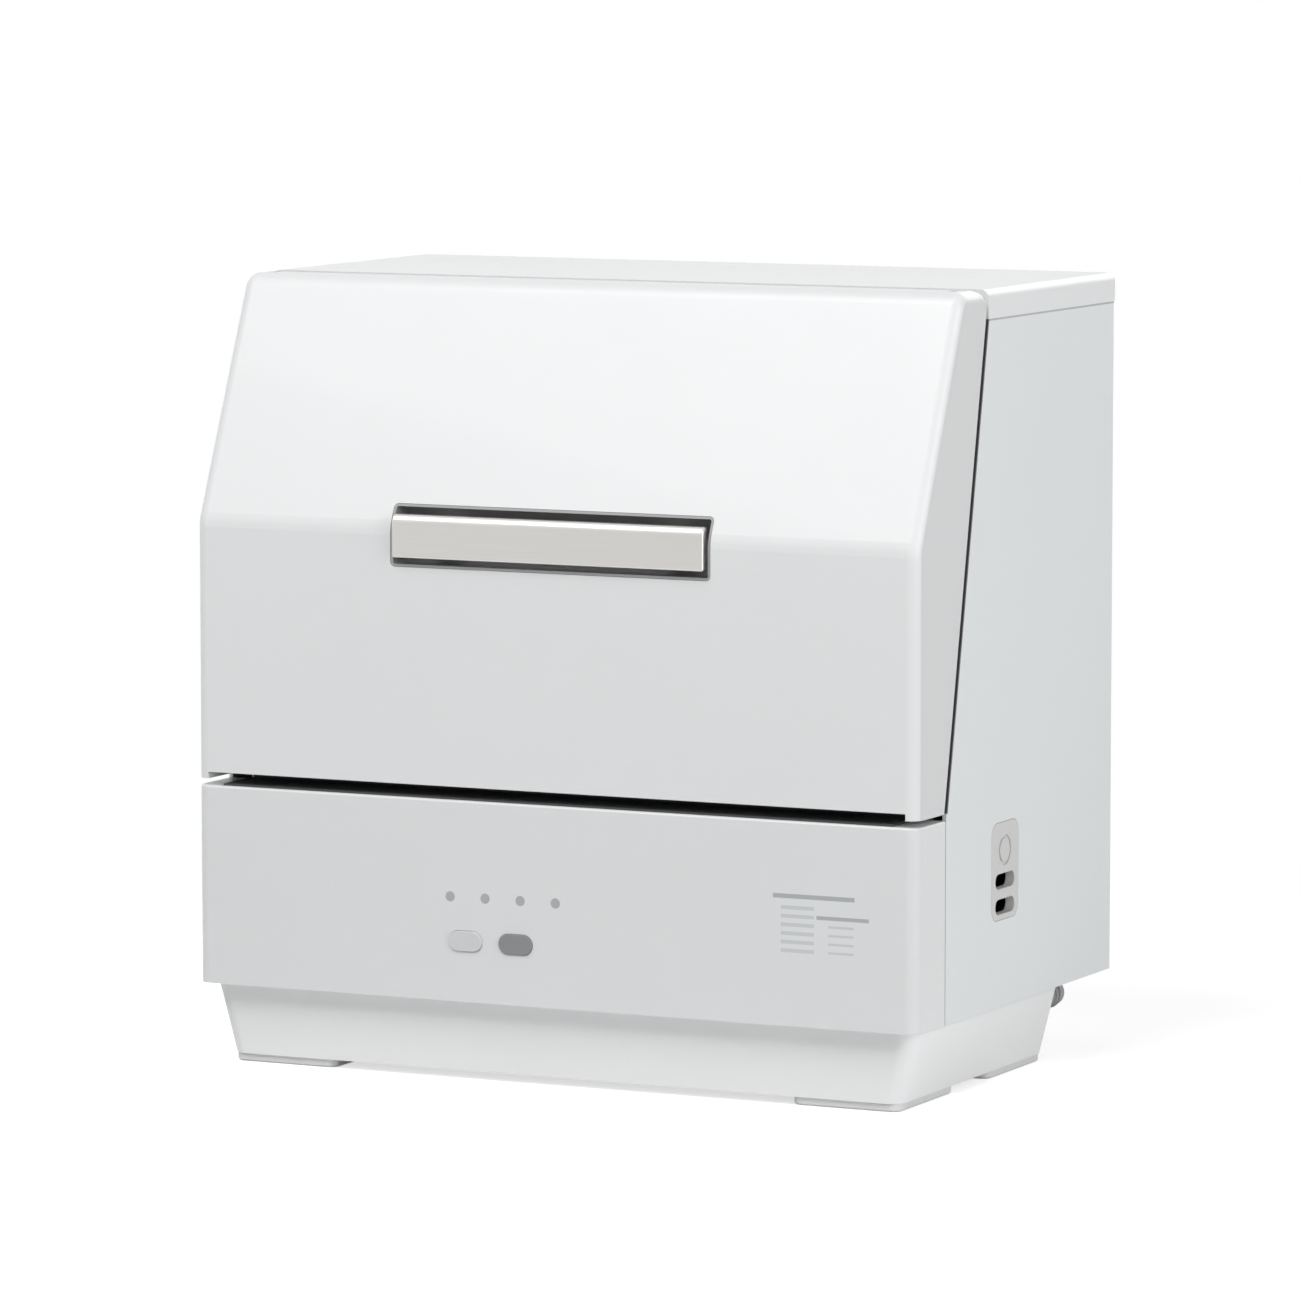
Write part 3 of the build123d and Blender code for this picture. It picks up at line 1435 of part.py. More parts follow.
# Inlet valve: connector through the wall, valve body and coil
valve_body_length = 34
valve_radius = 11
valve_coil = 26
valve_coil_height = 30
valve_port_y = 55
valve_port_x = 100
with BuildPart() as inlet_valve:
    add(port_body(inlet_x, inlet_z, inlet_radius, inlet_bore, port_reach))
    with BuildSketch(Plane.XZ.offset(port_stub - port_inner_y)):
        with Locations((inlet_x, inlet_z)):
            Circle(valve_radius)
    extrude(amount=valve_body_length)
    with BuildSketch(Plane.XY.offset(inlet_z)):
        with Locations((inlet_x, valve_port_y)):
            RectangleRounded(valve_coil, valve_coil, tray_rib)
    extrude(amount=valve_radius + valve_coil_height)
    with BuildSketch(Plane.YZ.offset(inlet_x)):
        with Locations((valve_port_y, inlet_z)):
            Circle(fill_radius)
    extrude(amount=valve_port_x - inlet_x)
finish(inlet_valve.part, "inlet_valve")

# Hoses inside the base
drain_hose_y = 100
drain_hose_drop_y = 20
drain_hose_fall = 84
drain_hose_drop_z = tub_floor_z - drain_hose_fall
hose_bend = 22
with BuildPart() as drain_hose:
    add(
        tube(
            (
                (drain_port_x, drain_port_y, drain_port_z),
                (drain_port_x, drain_hose_y, drain_port_z),
                (spigot_x, drain_hose_y, drain_port_z),
                (spigot_x, drain_hose_drop_y, drain_hose_drop_z),
                (spigot_x, drain_hose_drop_y, spigot_z),
                (spigot_x, port_inner_y - port_stub, spigot_z),
            ),
            (hose_bend, hose_bend, hose_bend, hose_bend),
            drain_port_radius,
            drain_port_bore,
            Plane((drain_port_x, drain_port_y, drain_port_z), z_dir=(0, 1, 0)),
        )
    )
finish(drain_hose.part, "drain_hose")

fill_hose_x = 60
with BuildPart() as fill_hose:
    add(
        tube(
            (
                (valve_port_x, valve_port_y, inlet_z),
                (fill_hose_x, valve_port_y, inlet_z),
                (fill_hose_x, valve_port_y, fill_port_z),
                (fill_hose_x, fill_port_y, fill_port_z),
            ),
            (hose_bend, hose_bend),
            fill_radius,
            fill_bore,
            Plane((valve_port_x, valve_port_y, inlet_z), z_dir=(-1, 0, 0)),
        )
    )
finish(fill_hose.part, "fill_hose")

# Heating element: one loop of sheathed wire over the tub floor, with its leads through the floor
with BuildPart() as heater_element:
    add(
        tube(
            (
                (-heater_lead, heater_rear_y, heater_z - heater_drop),
                (-heater_lead, heater_rear_y, heater_z),
                (-heater_half_width, heater_rear_y, heater_z),
                (-heater_half_width, heater_front_y, heater_z),
                (heater_half_width, heater_front_y, heater_z),
                (heater_half_width, heater_rear_y, heater_z),
                (heater_lead, heater_rear_y, heater_z),
                (heater_lead, heater_rear_y, heater_z - heater_drop),
            ),
            (heater_bend, heater_corner, heater_corner, heater_corner, heater_corner, heater_bend),
            heater_wire,
            0,
            Plane((-heater_lead, heater_rear_y, heater_z - heater_drop)),
        )
    )
finish(heater_element.part, "heater_element")

# Thermostat against the underside of the tub
thermostat_x = -60
thermostat_y = 50
thermostat_radius = 11
thermostat_height = 9
thermostat_tab = 5
with BuildPart() as thermostat:
    with BuildSketch(Plane.XY.offset(tub_floor_z)):
        with Locations((thermostat_x, thermostat_y)):
            Circle(thermostat_radius)
    extrude(amount=-thermostat_height)
    with BuildSketch(Plane.XY.offset(tub_floor_z - thermostat_height)):
        with Locations((thermostat_x, thermostat_y)):
            with GridLocations(thermostat_radius, 0, 2, 1):
                Rectangle(sheet, thermostat_tab)
    extrude(amount=-thermostat_tab)
finish(thermostat.part, "thermostat")

# Terminal block on the tray's ribs, near the cord gland
terminal_x = -170
terminal_y = 6
terminal_width = 66
terminal_depth = 24
terminal_height = 18
terminal_ways = 5
terminal_way_radius = 3.5
terminal_pitch = 12
with BuildPart() as terminal_block:
    with BuildSketch(Plane.XY.offset(rib_top_z)):
        with Locations((terminal_x, terminal_y)):
            RectangleRounded(terminal_width, terminal_depth, tray_rib)
    extrude(amount=terminal_height)
    with BuildSketch(Plane.XY.offset(rib_top_z + terminal_height)):
        with Locations((terminal_x, terminal_y)):
            with GridLocations(terminal_pitch, 0, terminal_ways, 1):
                Circle(terminal_way_radius)
    extrude(amount=-terminal_height / 2, mode=Mode.SUBTRACT)
finish(terminal_block.part, "terminal_block")

# Float switch under the floor, with the stem that guides the float
switch_box_width = 18
switch_box_depth = 34
switch_box_height = 16
stem_rise = 20
stem_top_z = tub_floor_z + stem_rise
float_radius = 14
float_height = 20
float_wall = 1.5
float_guide = 2
float_low_z = tub_floor_z + sheet
with BuildPart() as float_switch:
    with BuildSketch(Plane.XY.offset(tub_floor_z)):
        with Locations((float_x, float_y)):
            Rectangle(switch_box_width, switch_box_depth)
    extrude(amount=-switch_box_height)
    with BuildSketch(Plane.XY.offset(tub_floor_z)):
        with Locations((float_x, float_y)):
            Circle(float_hole)
    extrude(amount=stem_top_z - tub_floor_z)
finish(float_switch.part, "float_switch")

with BuildPart() as float_cup:
    with BuildSketch(Plane.XY.offset(float_low_z)):
        with Locations((float_x, float_y)):
            Circle(float_radius)
    extrude(amount=float_height)
    fillet(float_cup.faces().sort_by(Axis.Z)[-1].edges(), radius=2 * float_wall)
    with BuildSketch(Plane.XY.offset(float_low_z)):
        with Locations((float_x, float_y)):
            Circle(float_radius - float_wall)
            Circle(float_hole + fit + float_guide, mode=Mode.SUBTRACT)
    extrude(amount=float_height - 2 * float_wall, mode=Mode.SUBTRACT)
    with BuildSketch(Plane.XY.offset(float_low_z)):
        with Locations((float_x, float_y)):
            Circle(float_hole + fit)
    extrude(amount=stem_top_z + clearance - float_low_z, mode=Mode.SUBTRACT)
finish(float_cup.part, "float_cup")

# Filter basket in the well, resting by its rim on the tub floor
filter_play = 0.8
filter_rim_grow = 3
filter_rim = 1.5
filter_depth = 62
filter_wall = 1.5
filter_slots = 18
filter_slot_width = 4
filter_slot_height = 40
filter_slot_low = 10
filter_handle = 6
filter_floor_z = tub_floor_z + sheet
filter_radius = well_radius - filter_play
with BuildPart() as filter_basket:
    with BuildSketch(Plane.XY.offset(filter_floor_z)):
        with Locations((well_x, well_y)):
            Circle(well_radius + filter_rim_grow)
    extrude(amount=filter_rim)
    with BuildSketch(Plane.XY.offset(filter_floor_z)):
        with Locations((well_x, well_y)):
            Circle(filter_radius)
    extrude(amount=-filter_depth)
    with BuildSketch(Plane.XY.offset(filter_floor_z - filter_depth + filter_wall)):
        with Locations((well_x, well_y)):
            Circle(filter_radius - filter_wall)
    extrude(amount=filter_depth + filter_rim, mode=Mode.SUBTRACT)
    with BuildSketch(Plane.XY.offset(filter_floor_z + filter_rim)):
        with Locations((well_x, well_y)):
            Rectangle(2 * filter_radius - filter_wall, filter_handle)
    extrude(amount=-2 * filter_handle)
    with Locations(Plane((well_x, well_y, filter_floor_z - filter_depth + filter_slot_low))):
        with PolarLocations(filter_radius - filter_wall / 2, filter_slots):
            Box(
                2 * filter_wall,
                filter_slot_width,
                filter_slot_height,
                align=(Align.CENTER, Align.CENTER, Align.MIN),
                mode=Mode.SUBTRACT,
            )
finish(filter_basket.part, "filter_basket")

# Rails on the tub's side walls
rail_inset = 1
rail_width = 10
rail_height = 4
rail_rise = 46
rail_top_z = tub_floor_z + rail_rise
rail_front_y = -84
rail_rear_y = 108
tub_inner_half = tub_half - sheet
with BuildPart() as rack_rails:
    for side in (-1, 1):
        with BuildSketch(Plane.XY.offset(rail_top_z)):
            with Locations((side * (tub_inner_half - rail_width / 2), (rail_front_y + rail_rear_y) / 2)):
                Rectangle(rail_width, rail_rear_y - rail_front_y)
        extrude(amount=-rail_height)
finish(rack_rails.part, "rack_rails")

# Dish rack: crossed floor wires, with wire fences that stand on them
rack_half = 190
rack_front_y = -76
rack_rear_y = 110
rack_wire = 1.75
rack_rim = 2
rack_floor_rise = 6
rack_floor_z = rail_top_z + rack_floor_rise
rack_lap = 1.4  # how deep two crossed wires are welded into each other
rack_rows = 7
rack_columns = 13
rack_rim_rise = 78
rack_rim_z = rack_floor_z + rack_rim_rise
rack_mid_rise = 39
rack_mid_z = rack_floor_z + rack_mid_rise
end_wires = 12
side_wires = 7
side_wire_pitch = 28
rack_middle_y = (rack_front_y + rack_rear_y) / 2
rack_depth = rack_rear_y - rack_front_y
rack_cross_z = rack_floor_z + 2 * rack_wire - rack_lap
rack_floor_top = rack_cross_z + rack_wire
column_pitch = 2 * rack_half / (rack_columns - 1)
with BuildPart() as rack_floor:
    with BuildSketch(Plane.YZ.offset(-rack_half)):
        with Locations((rack_middle_y, rack_floor_z)):
            with GridLocations(rack_depth / (rack_rows - 1), 0, rack_rows, 1):
                Circle(rack_wire)
    extrude(amount=2 * rack_half)
    with BuildSketch(Plane.XZ.offset(-rack_front_y)):
        with Locations((0, rack_cross_z)):
            with GridLocations(column_pitch, 0, rack_columns, 1):
                Circle(rack_wire)
    extrude(amount=-rack_depth)
finish(rack_floor.part, "rack_floor")

fence_low_z = rack_floor_z + rack_wire
end_half = rack_half - rack_rim - fit
with BuildPart() as rack_ends:
    for end_y in (rack_front_y, rack_rear_y):
        with BuildSketch(Plane.XY.offset(fence_low_z)):
            with Locations((0, end_y)):
                with GridLocations(column_pitch, 0, end_wires, 1):
                    Circle(rack_wire)
        extrude(amount=rack_rim_z - fence_low_z)
        for wire_z, radius in ((rack_mid_z, rack_wire), (rack_rim_z, rack_rim)):
            with BuildSketch(Plane.YZ.offset(-end_half)):
                with Locations((end_y, wire_z)):
                    Circle(radius)
            extrude(amount=2 * end_half)
finish(rack_ends.part, "rack_ends")

with BuildPart() as rack_sides:
    for side in (-1, 1):
        with BuildSketch(Plane.XY.offset(rack_floor_top)):
            with Locations((side * rack_half, rack_middle_y)):
                with GridLocations(0, side_wire_pitch, 1, side_wires):
                    Circle(rack_wire)
        extrude(amount=rack_rim_z - rack_floor_top)
        for wire_z, radius in ((rack_mid_z, rack_wire), (rack_rim_z, rack_rim)):
            with BuildSketch(Plane.XZ.offset(-rack_front_y)):
                with Locations((side * rack_half, wire_z)):
                    Circle(radius)
            extrude(amount=-rack_depth)
finish(rack_sides.part, "rack_sides")

# Glides that carry the rack on the rails
glide_length = 26
glide_height = 22
glide_round = 2
glide_front_y = -36
glide_rear_y = 88
glide_start = rack_half + rack_wire
with BuildPart() as rack_glides:
    for side in (-1, 1):
        for glide_y in (glide_front_y, glide_rear_y):
            with BuildSketch(Plane.YZ.offset(side * glide_start)):
                with Locations((glide_y, rail_top_z + glide_height / 2)):
                    RectangleRounded(glide_length, glide_height, glide_round)
            extrude(amount=side * (tub_inner_half - rail_inset - glide_start))
finish(rack_glides.part, "rack_glides")

# Plate tines: a fixed row and a row that folds down on its axle
tine_radius = 1.5
tine_count = 15
tine_pitch = 20
tine_middle_x = -30
fixed_tine_y = -20
fixed_tine_rise = 64
fixed_tine_top_z = rack_floor_z + fixed_tine_rise
folding_tine_y = 45
tine_base_margin = 5
axle_radius = 2
clip_floor = 1.6
clip_width = 8
clip_depth = 10
clip_height = 8
clip_round = 1.5
clip_tines = 5  # tine pitches from the middle to a clip, less half a pitch
axle_z = rack_floor_top + clip_floor + axle_radius + fit
folding_tine_top_z = fixed_tine_top_z + clip_floor
tine_base = tine_pitch * (tine_count - 1) + 2 * tine_base_margin
base_wire_z = rack_floor_top + rack_wire
with BuildPart() as fixed_tines:
    with BuildSketch(Plane.XY.offset(base_wire_z)):
        with Locations((tine_middle_x, fixed_tine_y)):
            with GridLocations(tine_pitch, 0, tine_count, 1):
                Circle(tine_radius)
    extrude(amount=fixed_tine_top_z - base_wire_z)
    with BuildSketch(Plane.YZ.offset(tine_middle_x - tine_base / 2)):
        with Locations((fixed_tine_y, base_wire_z)):
            Circle(rack_wire)
    extrude(amount=tine_base)
finish(fixed_tines.part, "fixed_tines")

with BuildPart() as folding_tines:
    with BuildSketch(Plane.XY.offset(axle_z)):
        with Locations((tine_middle_x, folding_tine_y)):
            with GridLocations(tine_pitch, 0, tine_count, 1):
                Circle(tine_radius)
    extrude(amount=folding_tine_top_z - axle_z)
    with BuildSketch(Plane.YZ.offset(tine_middle_x - tine_base / 2)):
        with Locations((folding_tine_y, axle_z)):
            Circle(axle_radius)
    extrude(amount=tine_base)
finish(folding_tines.part, "folding_tines")

with BuildPart() as tine_clips:
    for side in (-1, 1):
        clip_x = tine_middle_x + side * (clip_tines - 1 / 2) * tine_pitch
        with BuildSketch(Plane.YZ.offset(clip_x - clip_width / 2)):
            with Locations((folding_tine_y, rack_floor_top + clip_height / 2)):
                RectangleRounded(clip_depth, clip_height, clip_round)
            with Locations((folding_tine_y, axle_z)):
                Circle(axle_radius + fit, mode=Mode.SUBTRACT)
        extrude(amount=clip_width)
finish(tine_clips.part, "tine_clips")

# Cutlery basket on the rack's floor, with a grip in its middle wall
basket_x = 155
basket_y = 20
basket_width = 56
basket_depth = 140
basket_height = 92
basket_wall = 1.6
basket_round = 8
basket_slot = 8
basket_drain = 3.4
basket_slot_height = 34
basket_slot_rise = 42
basket_slot_pitch = 15
basket_long_slots = 8
basket_short_slots = 3
basket_slot_rows = 2
basket_grip_rise = 24
basket_grip_width = 34
basket_grip_height = 12
basket_mid_z = rack_floor_top + basket_height / 2
with BuildPart() as cutlery_basket:
    with BuildSketch(Plane.XY.offset(rack_floor_top)):
        with Locations((basket_x, basket_y)):
            RectangleRounded(basket_width, basket_depth, basket_round)
    extrude(amount=basket_height)
    with BuildSketch(Plane.XY.offset(rack_floor_top + basket_wall)):
        with Locations((basket_x, basket_y)):
            RectangleRounded(
                basket_width - 2 * basket_wall, basket_depth - 2 * basket_wall, basket_round - basket_wall
            )
    extrude(amount=basket_height, mode=Mode.SUBTRACT)
    with BuildSketch(Plane.YZ.offset(basket_x)):
        with Locations((basket_y, basket_mid_z)):
            with GridLocations(basket_slot_pitch, basket_slot_rise, basket_long_slots, basket_slot_rows):
                Rectangle(basket_slot, basket_slot_height)
    extrude(amount=basket_width, both=True, mode=Mode.SUBTRACT)
    with BuildSketch(Plane.XZ.offset(-basket_y)):
        with Locations((basket_x, basket_mid_z)):
            with GridLocations(basket_slot_pitch, basket_slot_rise, basket_short_slots, basket_slot_rows):
                Rectangle(basket_slot, basket_slot_height)
    extrude(amount=basket_depth, both=True, mode=Mode.SUBTRACT)
    with BuildSketch(Plane.XY.offset(rack_floor_top)):
        with Locations((basket_x, basket_y)):
            with GridLocations(basket_slot_pitch, basket_slot_pitch, basket_short_slots, basket_long_slots):
                Rectangle(basket_slot, basket_drain)
    extrude(amount=basket_wall, mode=Mode.SUBTRACT)
    with BuildSketch(Plane.XZ.offset(-basket_y)):
        with Locations((basket_x, basket_mid_z + basket_grip_rise / 2)):
            Rectangle(basket_width, basket_height + basket_grip_rise)
        with Locations((basket_x, rack_floor_top + basket_height + basket_grip_rise - basket_grip_height)):
            SlotOverall(basket_grip_width, basket_grip_height, mode=Mode.SUBTRACT)
    extrude(amount=basket_wall)
finish(cutlery_basket.part, "cutlery_basket")
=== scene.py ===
# %% [markdown]
# # A compact tabletop dishwasher
# The solid model of the dishwasher comes in as the frame: one object for each piece, in metres,
# with +Z up and the lid towards -Y. Everything here only dresses that frame: finishes, printed
# marks, fasteners, and a plain studio with a camera. Nothing is moved or resized.

# %% Load the frame
import json
from math import cos, pi, radians, sin, tan

import bmesh
import bpy
from mathutils import Matrix, Vector


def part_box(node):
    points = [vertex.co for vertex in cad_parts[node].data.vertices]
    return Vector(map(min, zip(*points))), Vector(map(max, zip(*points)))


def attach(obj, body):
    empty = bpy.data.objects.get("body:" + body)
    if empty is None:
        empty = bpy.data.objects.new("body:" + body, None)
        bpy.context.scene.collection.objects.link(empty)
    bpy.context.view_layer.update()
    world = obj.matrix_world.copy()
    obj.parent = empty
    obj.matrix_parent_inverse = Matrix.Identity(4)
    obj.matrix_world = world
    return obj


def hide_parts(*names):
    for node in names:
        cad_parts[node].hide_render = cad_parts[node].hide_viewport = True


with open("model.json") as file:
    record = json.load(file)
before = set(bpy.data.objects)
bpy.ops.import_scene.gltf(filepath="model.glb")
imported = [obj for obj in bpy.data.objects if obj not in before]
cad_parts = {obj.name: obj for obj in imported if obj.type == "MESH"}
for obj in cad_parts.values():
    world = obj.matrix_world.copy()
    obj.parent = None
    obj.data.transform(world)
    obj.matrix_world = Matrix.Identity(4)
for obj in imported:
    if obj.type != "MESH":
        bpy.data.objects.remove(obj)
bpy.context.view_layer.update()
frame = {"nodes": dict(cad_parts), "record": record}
nodes = frame["nodes"]
MM = 0.001
print("pieces in the frame:", len(nodes))

# %% [markdown]
# ## Camera
# The body is seen from its right front corner, a little above the middle, through a long lens: its
# upright edges stay parallel. A long lens far away gives that flat, catalogue-like perspective. The
# lens shift is only what centres the body in the square picture.

# %% Camera
CAMERA_AZIMUTH = radians(25.8)
CAMERA_ELEVATION = radians(6.2)
CAMERA_DISTANCE = 4.5
CAMERA_LENS = 208
CAMERA_SENSOR = 36
CAMERA_REACH = 50
LOOK_AT = Vector((0, 0, 0.239))
PICTURE_SIZE = 1300
SHIFT_PIXELS = (-8, 9)
sight = Vector((
    sin(CAMERA_AZIMUTH) * cos(CAMERA_ELEVATION),
    -cos(CAMERA_AZIMUTH) * cos(CAMERA_ELEVATION),
    sin(CAMERA_ELEVATION),
))
lens = bpy.data.cameras.new("studio_camera")
lens.lens = CAMERA_LENS
lens.sensor_width = CAMERA_SENSOR
lens.shift_x, lens.shift_y = (pixels / PICTURE_SIZE for pixels in SHIFT_PIXELS)
lens.clip_end = CAMERA_REACH
camera = bpy.data.objects.new("studio_camera", lens)
camera.location = LOOK_AT + sight * CAMERA_DISTANCE
camera.rotation_euler = (-sight).to_track_quat("-Z", "Y").to_euler()
bpy.context.scene.collection.objects.link(camera)
bpy.context.scene.camera = camera
bpy.context.scene.view_settings.view_transform = "Standard"
print("camera at", [round(value, 3) for value in camera.location])

# %% [markdown]
# ## Shader arithmetic
# A finish is easier to read as a formula than as a drawing of nodes. `Number` wraps one output that
# varies over the surface, so that `1 - mask * 0.5` adds the Math nodes by itself. `Tree` adds any
# other node from its type, its settings and the values or links of its sockets.


# %% Number and Tree
class Number:
    """A value that varies over a surface; arithmetic on it adds Math nodes."""

    def __init__(self, tree, socket):
        self.tree = tree
        self.socket = socket

    def math(self, operation, first, second=None):
        values = {0: first} if second is None else {0: first, 1: second}
        return self.tree.number("ShaderNodeMath", {"operation": operation}, values)

    def __add__(self, other):
        return self.math("ADD", self, other)

    def __radd__(self, other):
        return self.math("ADD", other, self)

    def __sub__(self, other):
        return self.math("SUBTRACT", self, other)

    def __rsub__(self, other):
        return self.math("SUBTRACT", other, self)

    def __mul__(self, other):
        return self.math("MULTIPLY", self, other)

    def __rmul__(self, other):
        return self.math("MULTIPLY", other, self)

    def __gt__(self, other):
        return self.math("GREATER_THAN", self, other)

    def __lt__(self, other):
        return self.math("LESS_THAN", self, other)

    def size(self):
        return self.math("ABSOLUTE", self)

    def between(self, low, high):
        """1 where the value lies between two limits, and 0 elsewhere."""
        return (self > low) * (self < high)

    def or_more(self, other):
        """The larger of two values, which for masks is either of them."""
        return self.math("MAXIMUM", self, other)


class Tree:
    """A node tree that is filled one node at a time."""

    def __init__(self, node_tree):
        self.node_tree = node_tree

    def node(self, kind, settings=None, sockets=None):
        """Add one node: its settings first, then the values or links of its sockets."""
        made = self.node_tree.nodes.new(kind)
        for key, value in (settings or {}).items():
            setattr(made, key, value)
        for key, value in (sockets or {}).items():
            self.put(made.inputs[key], value)
        return made

    def put(self, socket, value):
        """Set a socket to a value, or link something to it."""
        if isinstance(value, Number):
            self.node_tree.links.new(value.socket, socket)
        elif isinstance(value, bpy.types.NodeSocket):
            self.node_tree.links.new(value, socket)
        elif isinstance(value, tuple) and len(value) == 3 and socket.type == "RGBA":
            socket.default_value = (*value, 1)
        else:
            socket.default_value = value

    def number(self, kind, settings, sockets, output=0):
        return Number(self, self.node(kind, settings, sockets).outputs[output])

    def blend(self, mask, first, second):
        """A colour that goes from the first to the second as the mask goes from 0 to 1."""
        made = self.node("ShaderNodeMix", {"data_type": "RGBA"}, {0: mask, 6: first, 7: second})
        return made.outputs[2]

    def chosen(self, mask, first, second):
        """The first shader where the mask is 0, and the second where it is 1."""
        sockets = {0: mask, 1: first.outputs[0], 2: second.outputs[0]}
        return self.node("ShaderNodeMixShader", {}, sockets)


# %% [markdown]
# ## Finishes
# A finish is a material whose patterns lie on object coordinates, so they keep their real size and
# stay on a piece that moves. What varies over the surface goes only to the colour, the roughness and
# a bump, because those are what can be baked for other programs.


# %% Finish
class Finish(Tree):
    """A material on object coordinates, with one main shader."""

    def __init__(self, name, roughness, metallic=0.0, coat=0.0, specular=0.5):
        self.material = bpy.data.materials.new(name)
        self.material.use_nodes = True
        super().__init__(self.material.node_tree)
        self.shader = self.node_tree.nodes["Principled BSDF"]
        self.put(self.shader.inputs["Roughness"], roughness)
        self.put(self.shader.inputs["Metallic"], metallic)
        self.put(self.shader.inputs["Coat Weight"], coat)
        self.put(self.shader.inputs["Specular IOR Level"], specular)
        self.place = self.node("ShaderNodeTexCoord").outputs["Object"]
        split = self.node("ShaderNodeSeparateXYZ", {}, {0: self.place})
        self.x, self.y, self.z = (Number(self, split.outputs[axis]) for axis in range(3))

    def stretched(self, scale):
        """Object coordinates stretched by a scale for each axis."""
        mapping = self.node("ShaderNodeMapping", {}, {"Vector": self.place, "Scale": scale})
        return mapping.outputs[0]

    def noise(self, scale, detail=3.0, stretch=(1, 1, 1)):
        """Cloudy noise, with a scale of so many blots in a metre."""
        place = self.place if stretch == (1, 1, 1) else self.stretched(stretch)
        sockets = {"Vector": place, "Scale": scale, "Detail": detail}
        return self.number("ShaderNodeTexNoise", {}, sockets)

    def cells(self, scale, output="Distance"):
        """Voronoi cells, so many in a metre."""
        sockets = {"Vector": self.place, "Scale": scale}
        return self.number("ShaderNodeTexVoronoi", {"feature": "F1"}, sockets, output)

    def waves(self, scale, direction):
        """Even bands across a direction."""
        sockets = {"Vector": self.place, "Scale": scale}
        return self.number("ShaderNodeTexWave", {"bands_direction": direction}, sockets, "Fac")

    def colour(self, value):
        self.put(self.shader.inputs["Base Color"], value)

    def roughness(self, value):
        self.put(self.shader.inputs["Roughness"], value)

    def bump(self, height, depth):
        """Let a height, from 0 to 1, stand out by a depth in metres."""
        made = self.node("ShaderNodeBump", {}, {"Height": height, "Distance": depth, "Strength": 1})
        self.put(self.shader.inputs["Normal"], made.outputs[0])


def darkened(colour, share):
    """A colour that is darker by a share."""
    return tuple(channel * (1 - share) for channel in colour)


def dress(finish, *names):
    """Give a finish to nodes of the frame."""
    for name in names:
        materials = nodes[name].data.materials
        materials.clear()
        materials.append(finish.material)
    print(finish.material.name, "->", ", ".join(names))


# %% [markdown]
# ## Moulded plastics
# Every plastic on the body was moulded in a steel tool. The tool's texture leaves a very fine
# grain, thick and thin places cool differently and leave faint waves in the shade, and handling
# leaves soft smudges in the gloss. `moulded` gives the grain and the smudges at their real size,
# `drifting` the shade, and `plastic` puts them together for all pieces of one even colour.

# %% Plastics
DRIFT_SCALE = 9
SMUDGE_SCALE = 38
SMUDGE_SPREAD = 0.1


def moulded(name, roughness, grain=3600, grain_depth=0.03 * MM, coat=0.0):
    """Plastic with a fine grain and smudged gloss, which still needs a colour."""
    finish = Finish(name, roughness, coat=coat)
    smudge = finish.noise(SMUDGE_SCALE, detail=4)
    finish.roughness(roughness - SMUDGE_SPREAD / 2 + SMUDGE_SPREAD * smudge)
    finish.bump(finish.noise(grain, detail=2), grain_depth)
    return finish


def drifting(finish, darker, colour):
    """A colour that drifts slowly between two shades."""
    return finish.blend(finish.noise(DRIFT_SCALE, detail=2), darker, colour)


def plastic(name, colour, roughness, tint=0.04, **texture):
    """Moulded plastic of one colour."""
    finish = moulded(name, roughness, **texture)
    finish.colour(drifting(finish, darkened(colour, tint), colour))
    return finish


# %% [markdown]
# ## The white shell
# Lid and top cover are one white plastic, each with a gloss of its own, because their moulds were
# polished differently. Fascia and side panels come from other batches, a touch off in shade. The
# lid's two cheeks carry painted shade: a mask at both ends of its width makes them darker than its
# front.

# %% White shell
SHELL_WHITE = (0.79, 0.80, 0.805)
SHELL_TINT = 0.015
CHEEK_PAINTED_SHADE = 0.14
CHEEK_BAND = 0.7 * MM
SHELL_TEXTURE = {"grain": 2250, "grain_depth": 0.012 * MM}

shell = moulded("white_shell", roughness=0.42, coat=0.06, **SHELL_TEXTURE)
lid_low, lid_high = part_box("lid_shell")
# Painted shade: a mask for the lid's two cheeks, which are drawn darker than its front.
cheek_painted_shade = shell.x.size() > lid_high.x - CHEEK_BAND
shell_white = drifting(shell, darkened(SHELL_WHITE, SHELL_TINT), SHELL_WHITE)
shell.colour(shell.blend(cheek_painted_shade, shell_white, darkened(SHELL_WHITE, CHEEK_PAINTED_SHADE)))
dress(shell, "lid_shell")
cover_white = plastic(
    "cover_white", SHELL_WHITE, roughness=0.36, tint=SHELL_TINT, coat=0.1, **SHELL_TEXTURE,
)
dress(cover_white, "top_cover")

# %% [markdown]
# The front edge of each side panel follows the lid's seam, a plane that leans back from the top of
# the fascia. A dark line of painted shadow runs along that edge, where the seam's gap lies, and a
# thinner grey line of painted shade lies under the top cover. Both are masks: the distance from the
# leaning plane, and a band of height.

# %% Painted shadow lines on the side panels
SEAM_LEAN = radians(11.5)
SEAM_SHADOW_HALF = 1.4 * MM
COVER_SHADOW_BAND = 1.1 * MM
SIDE_WHITE = (0.775, 0.80, 0.805)
SIDE_DARKER = (0.76, 0.785, 0.79)
SEAM_SHADOW_GREY = (0.075, 0.075, 0.08)
COVER_SHADOW_GREY = (0.42, 0.43, 0.44)

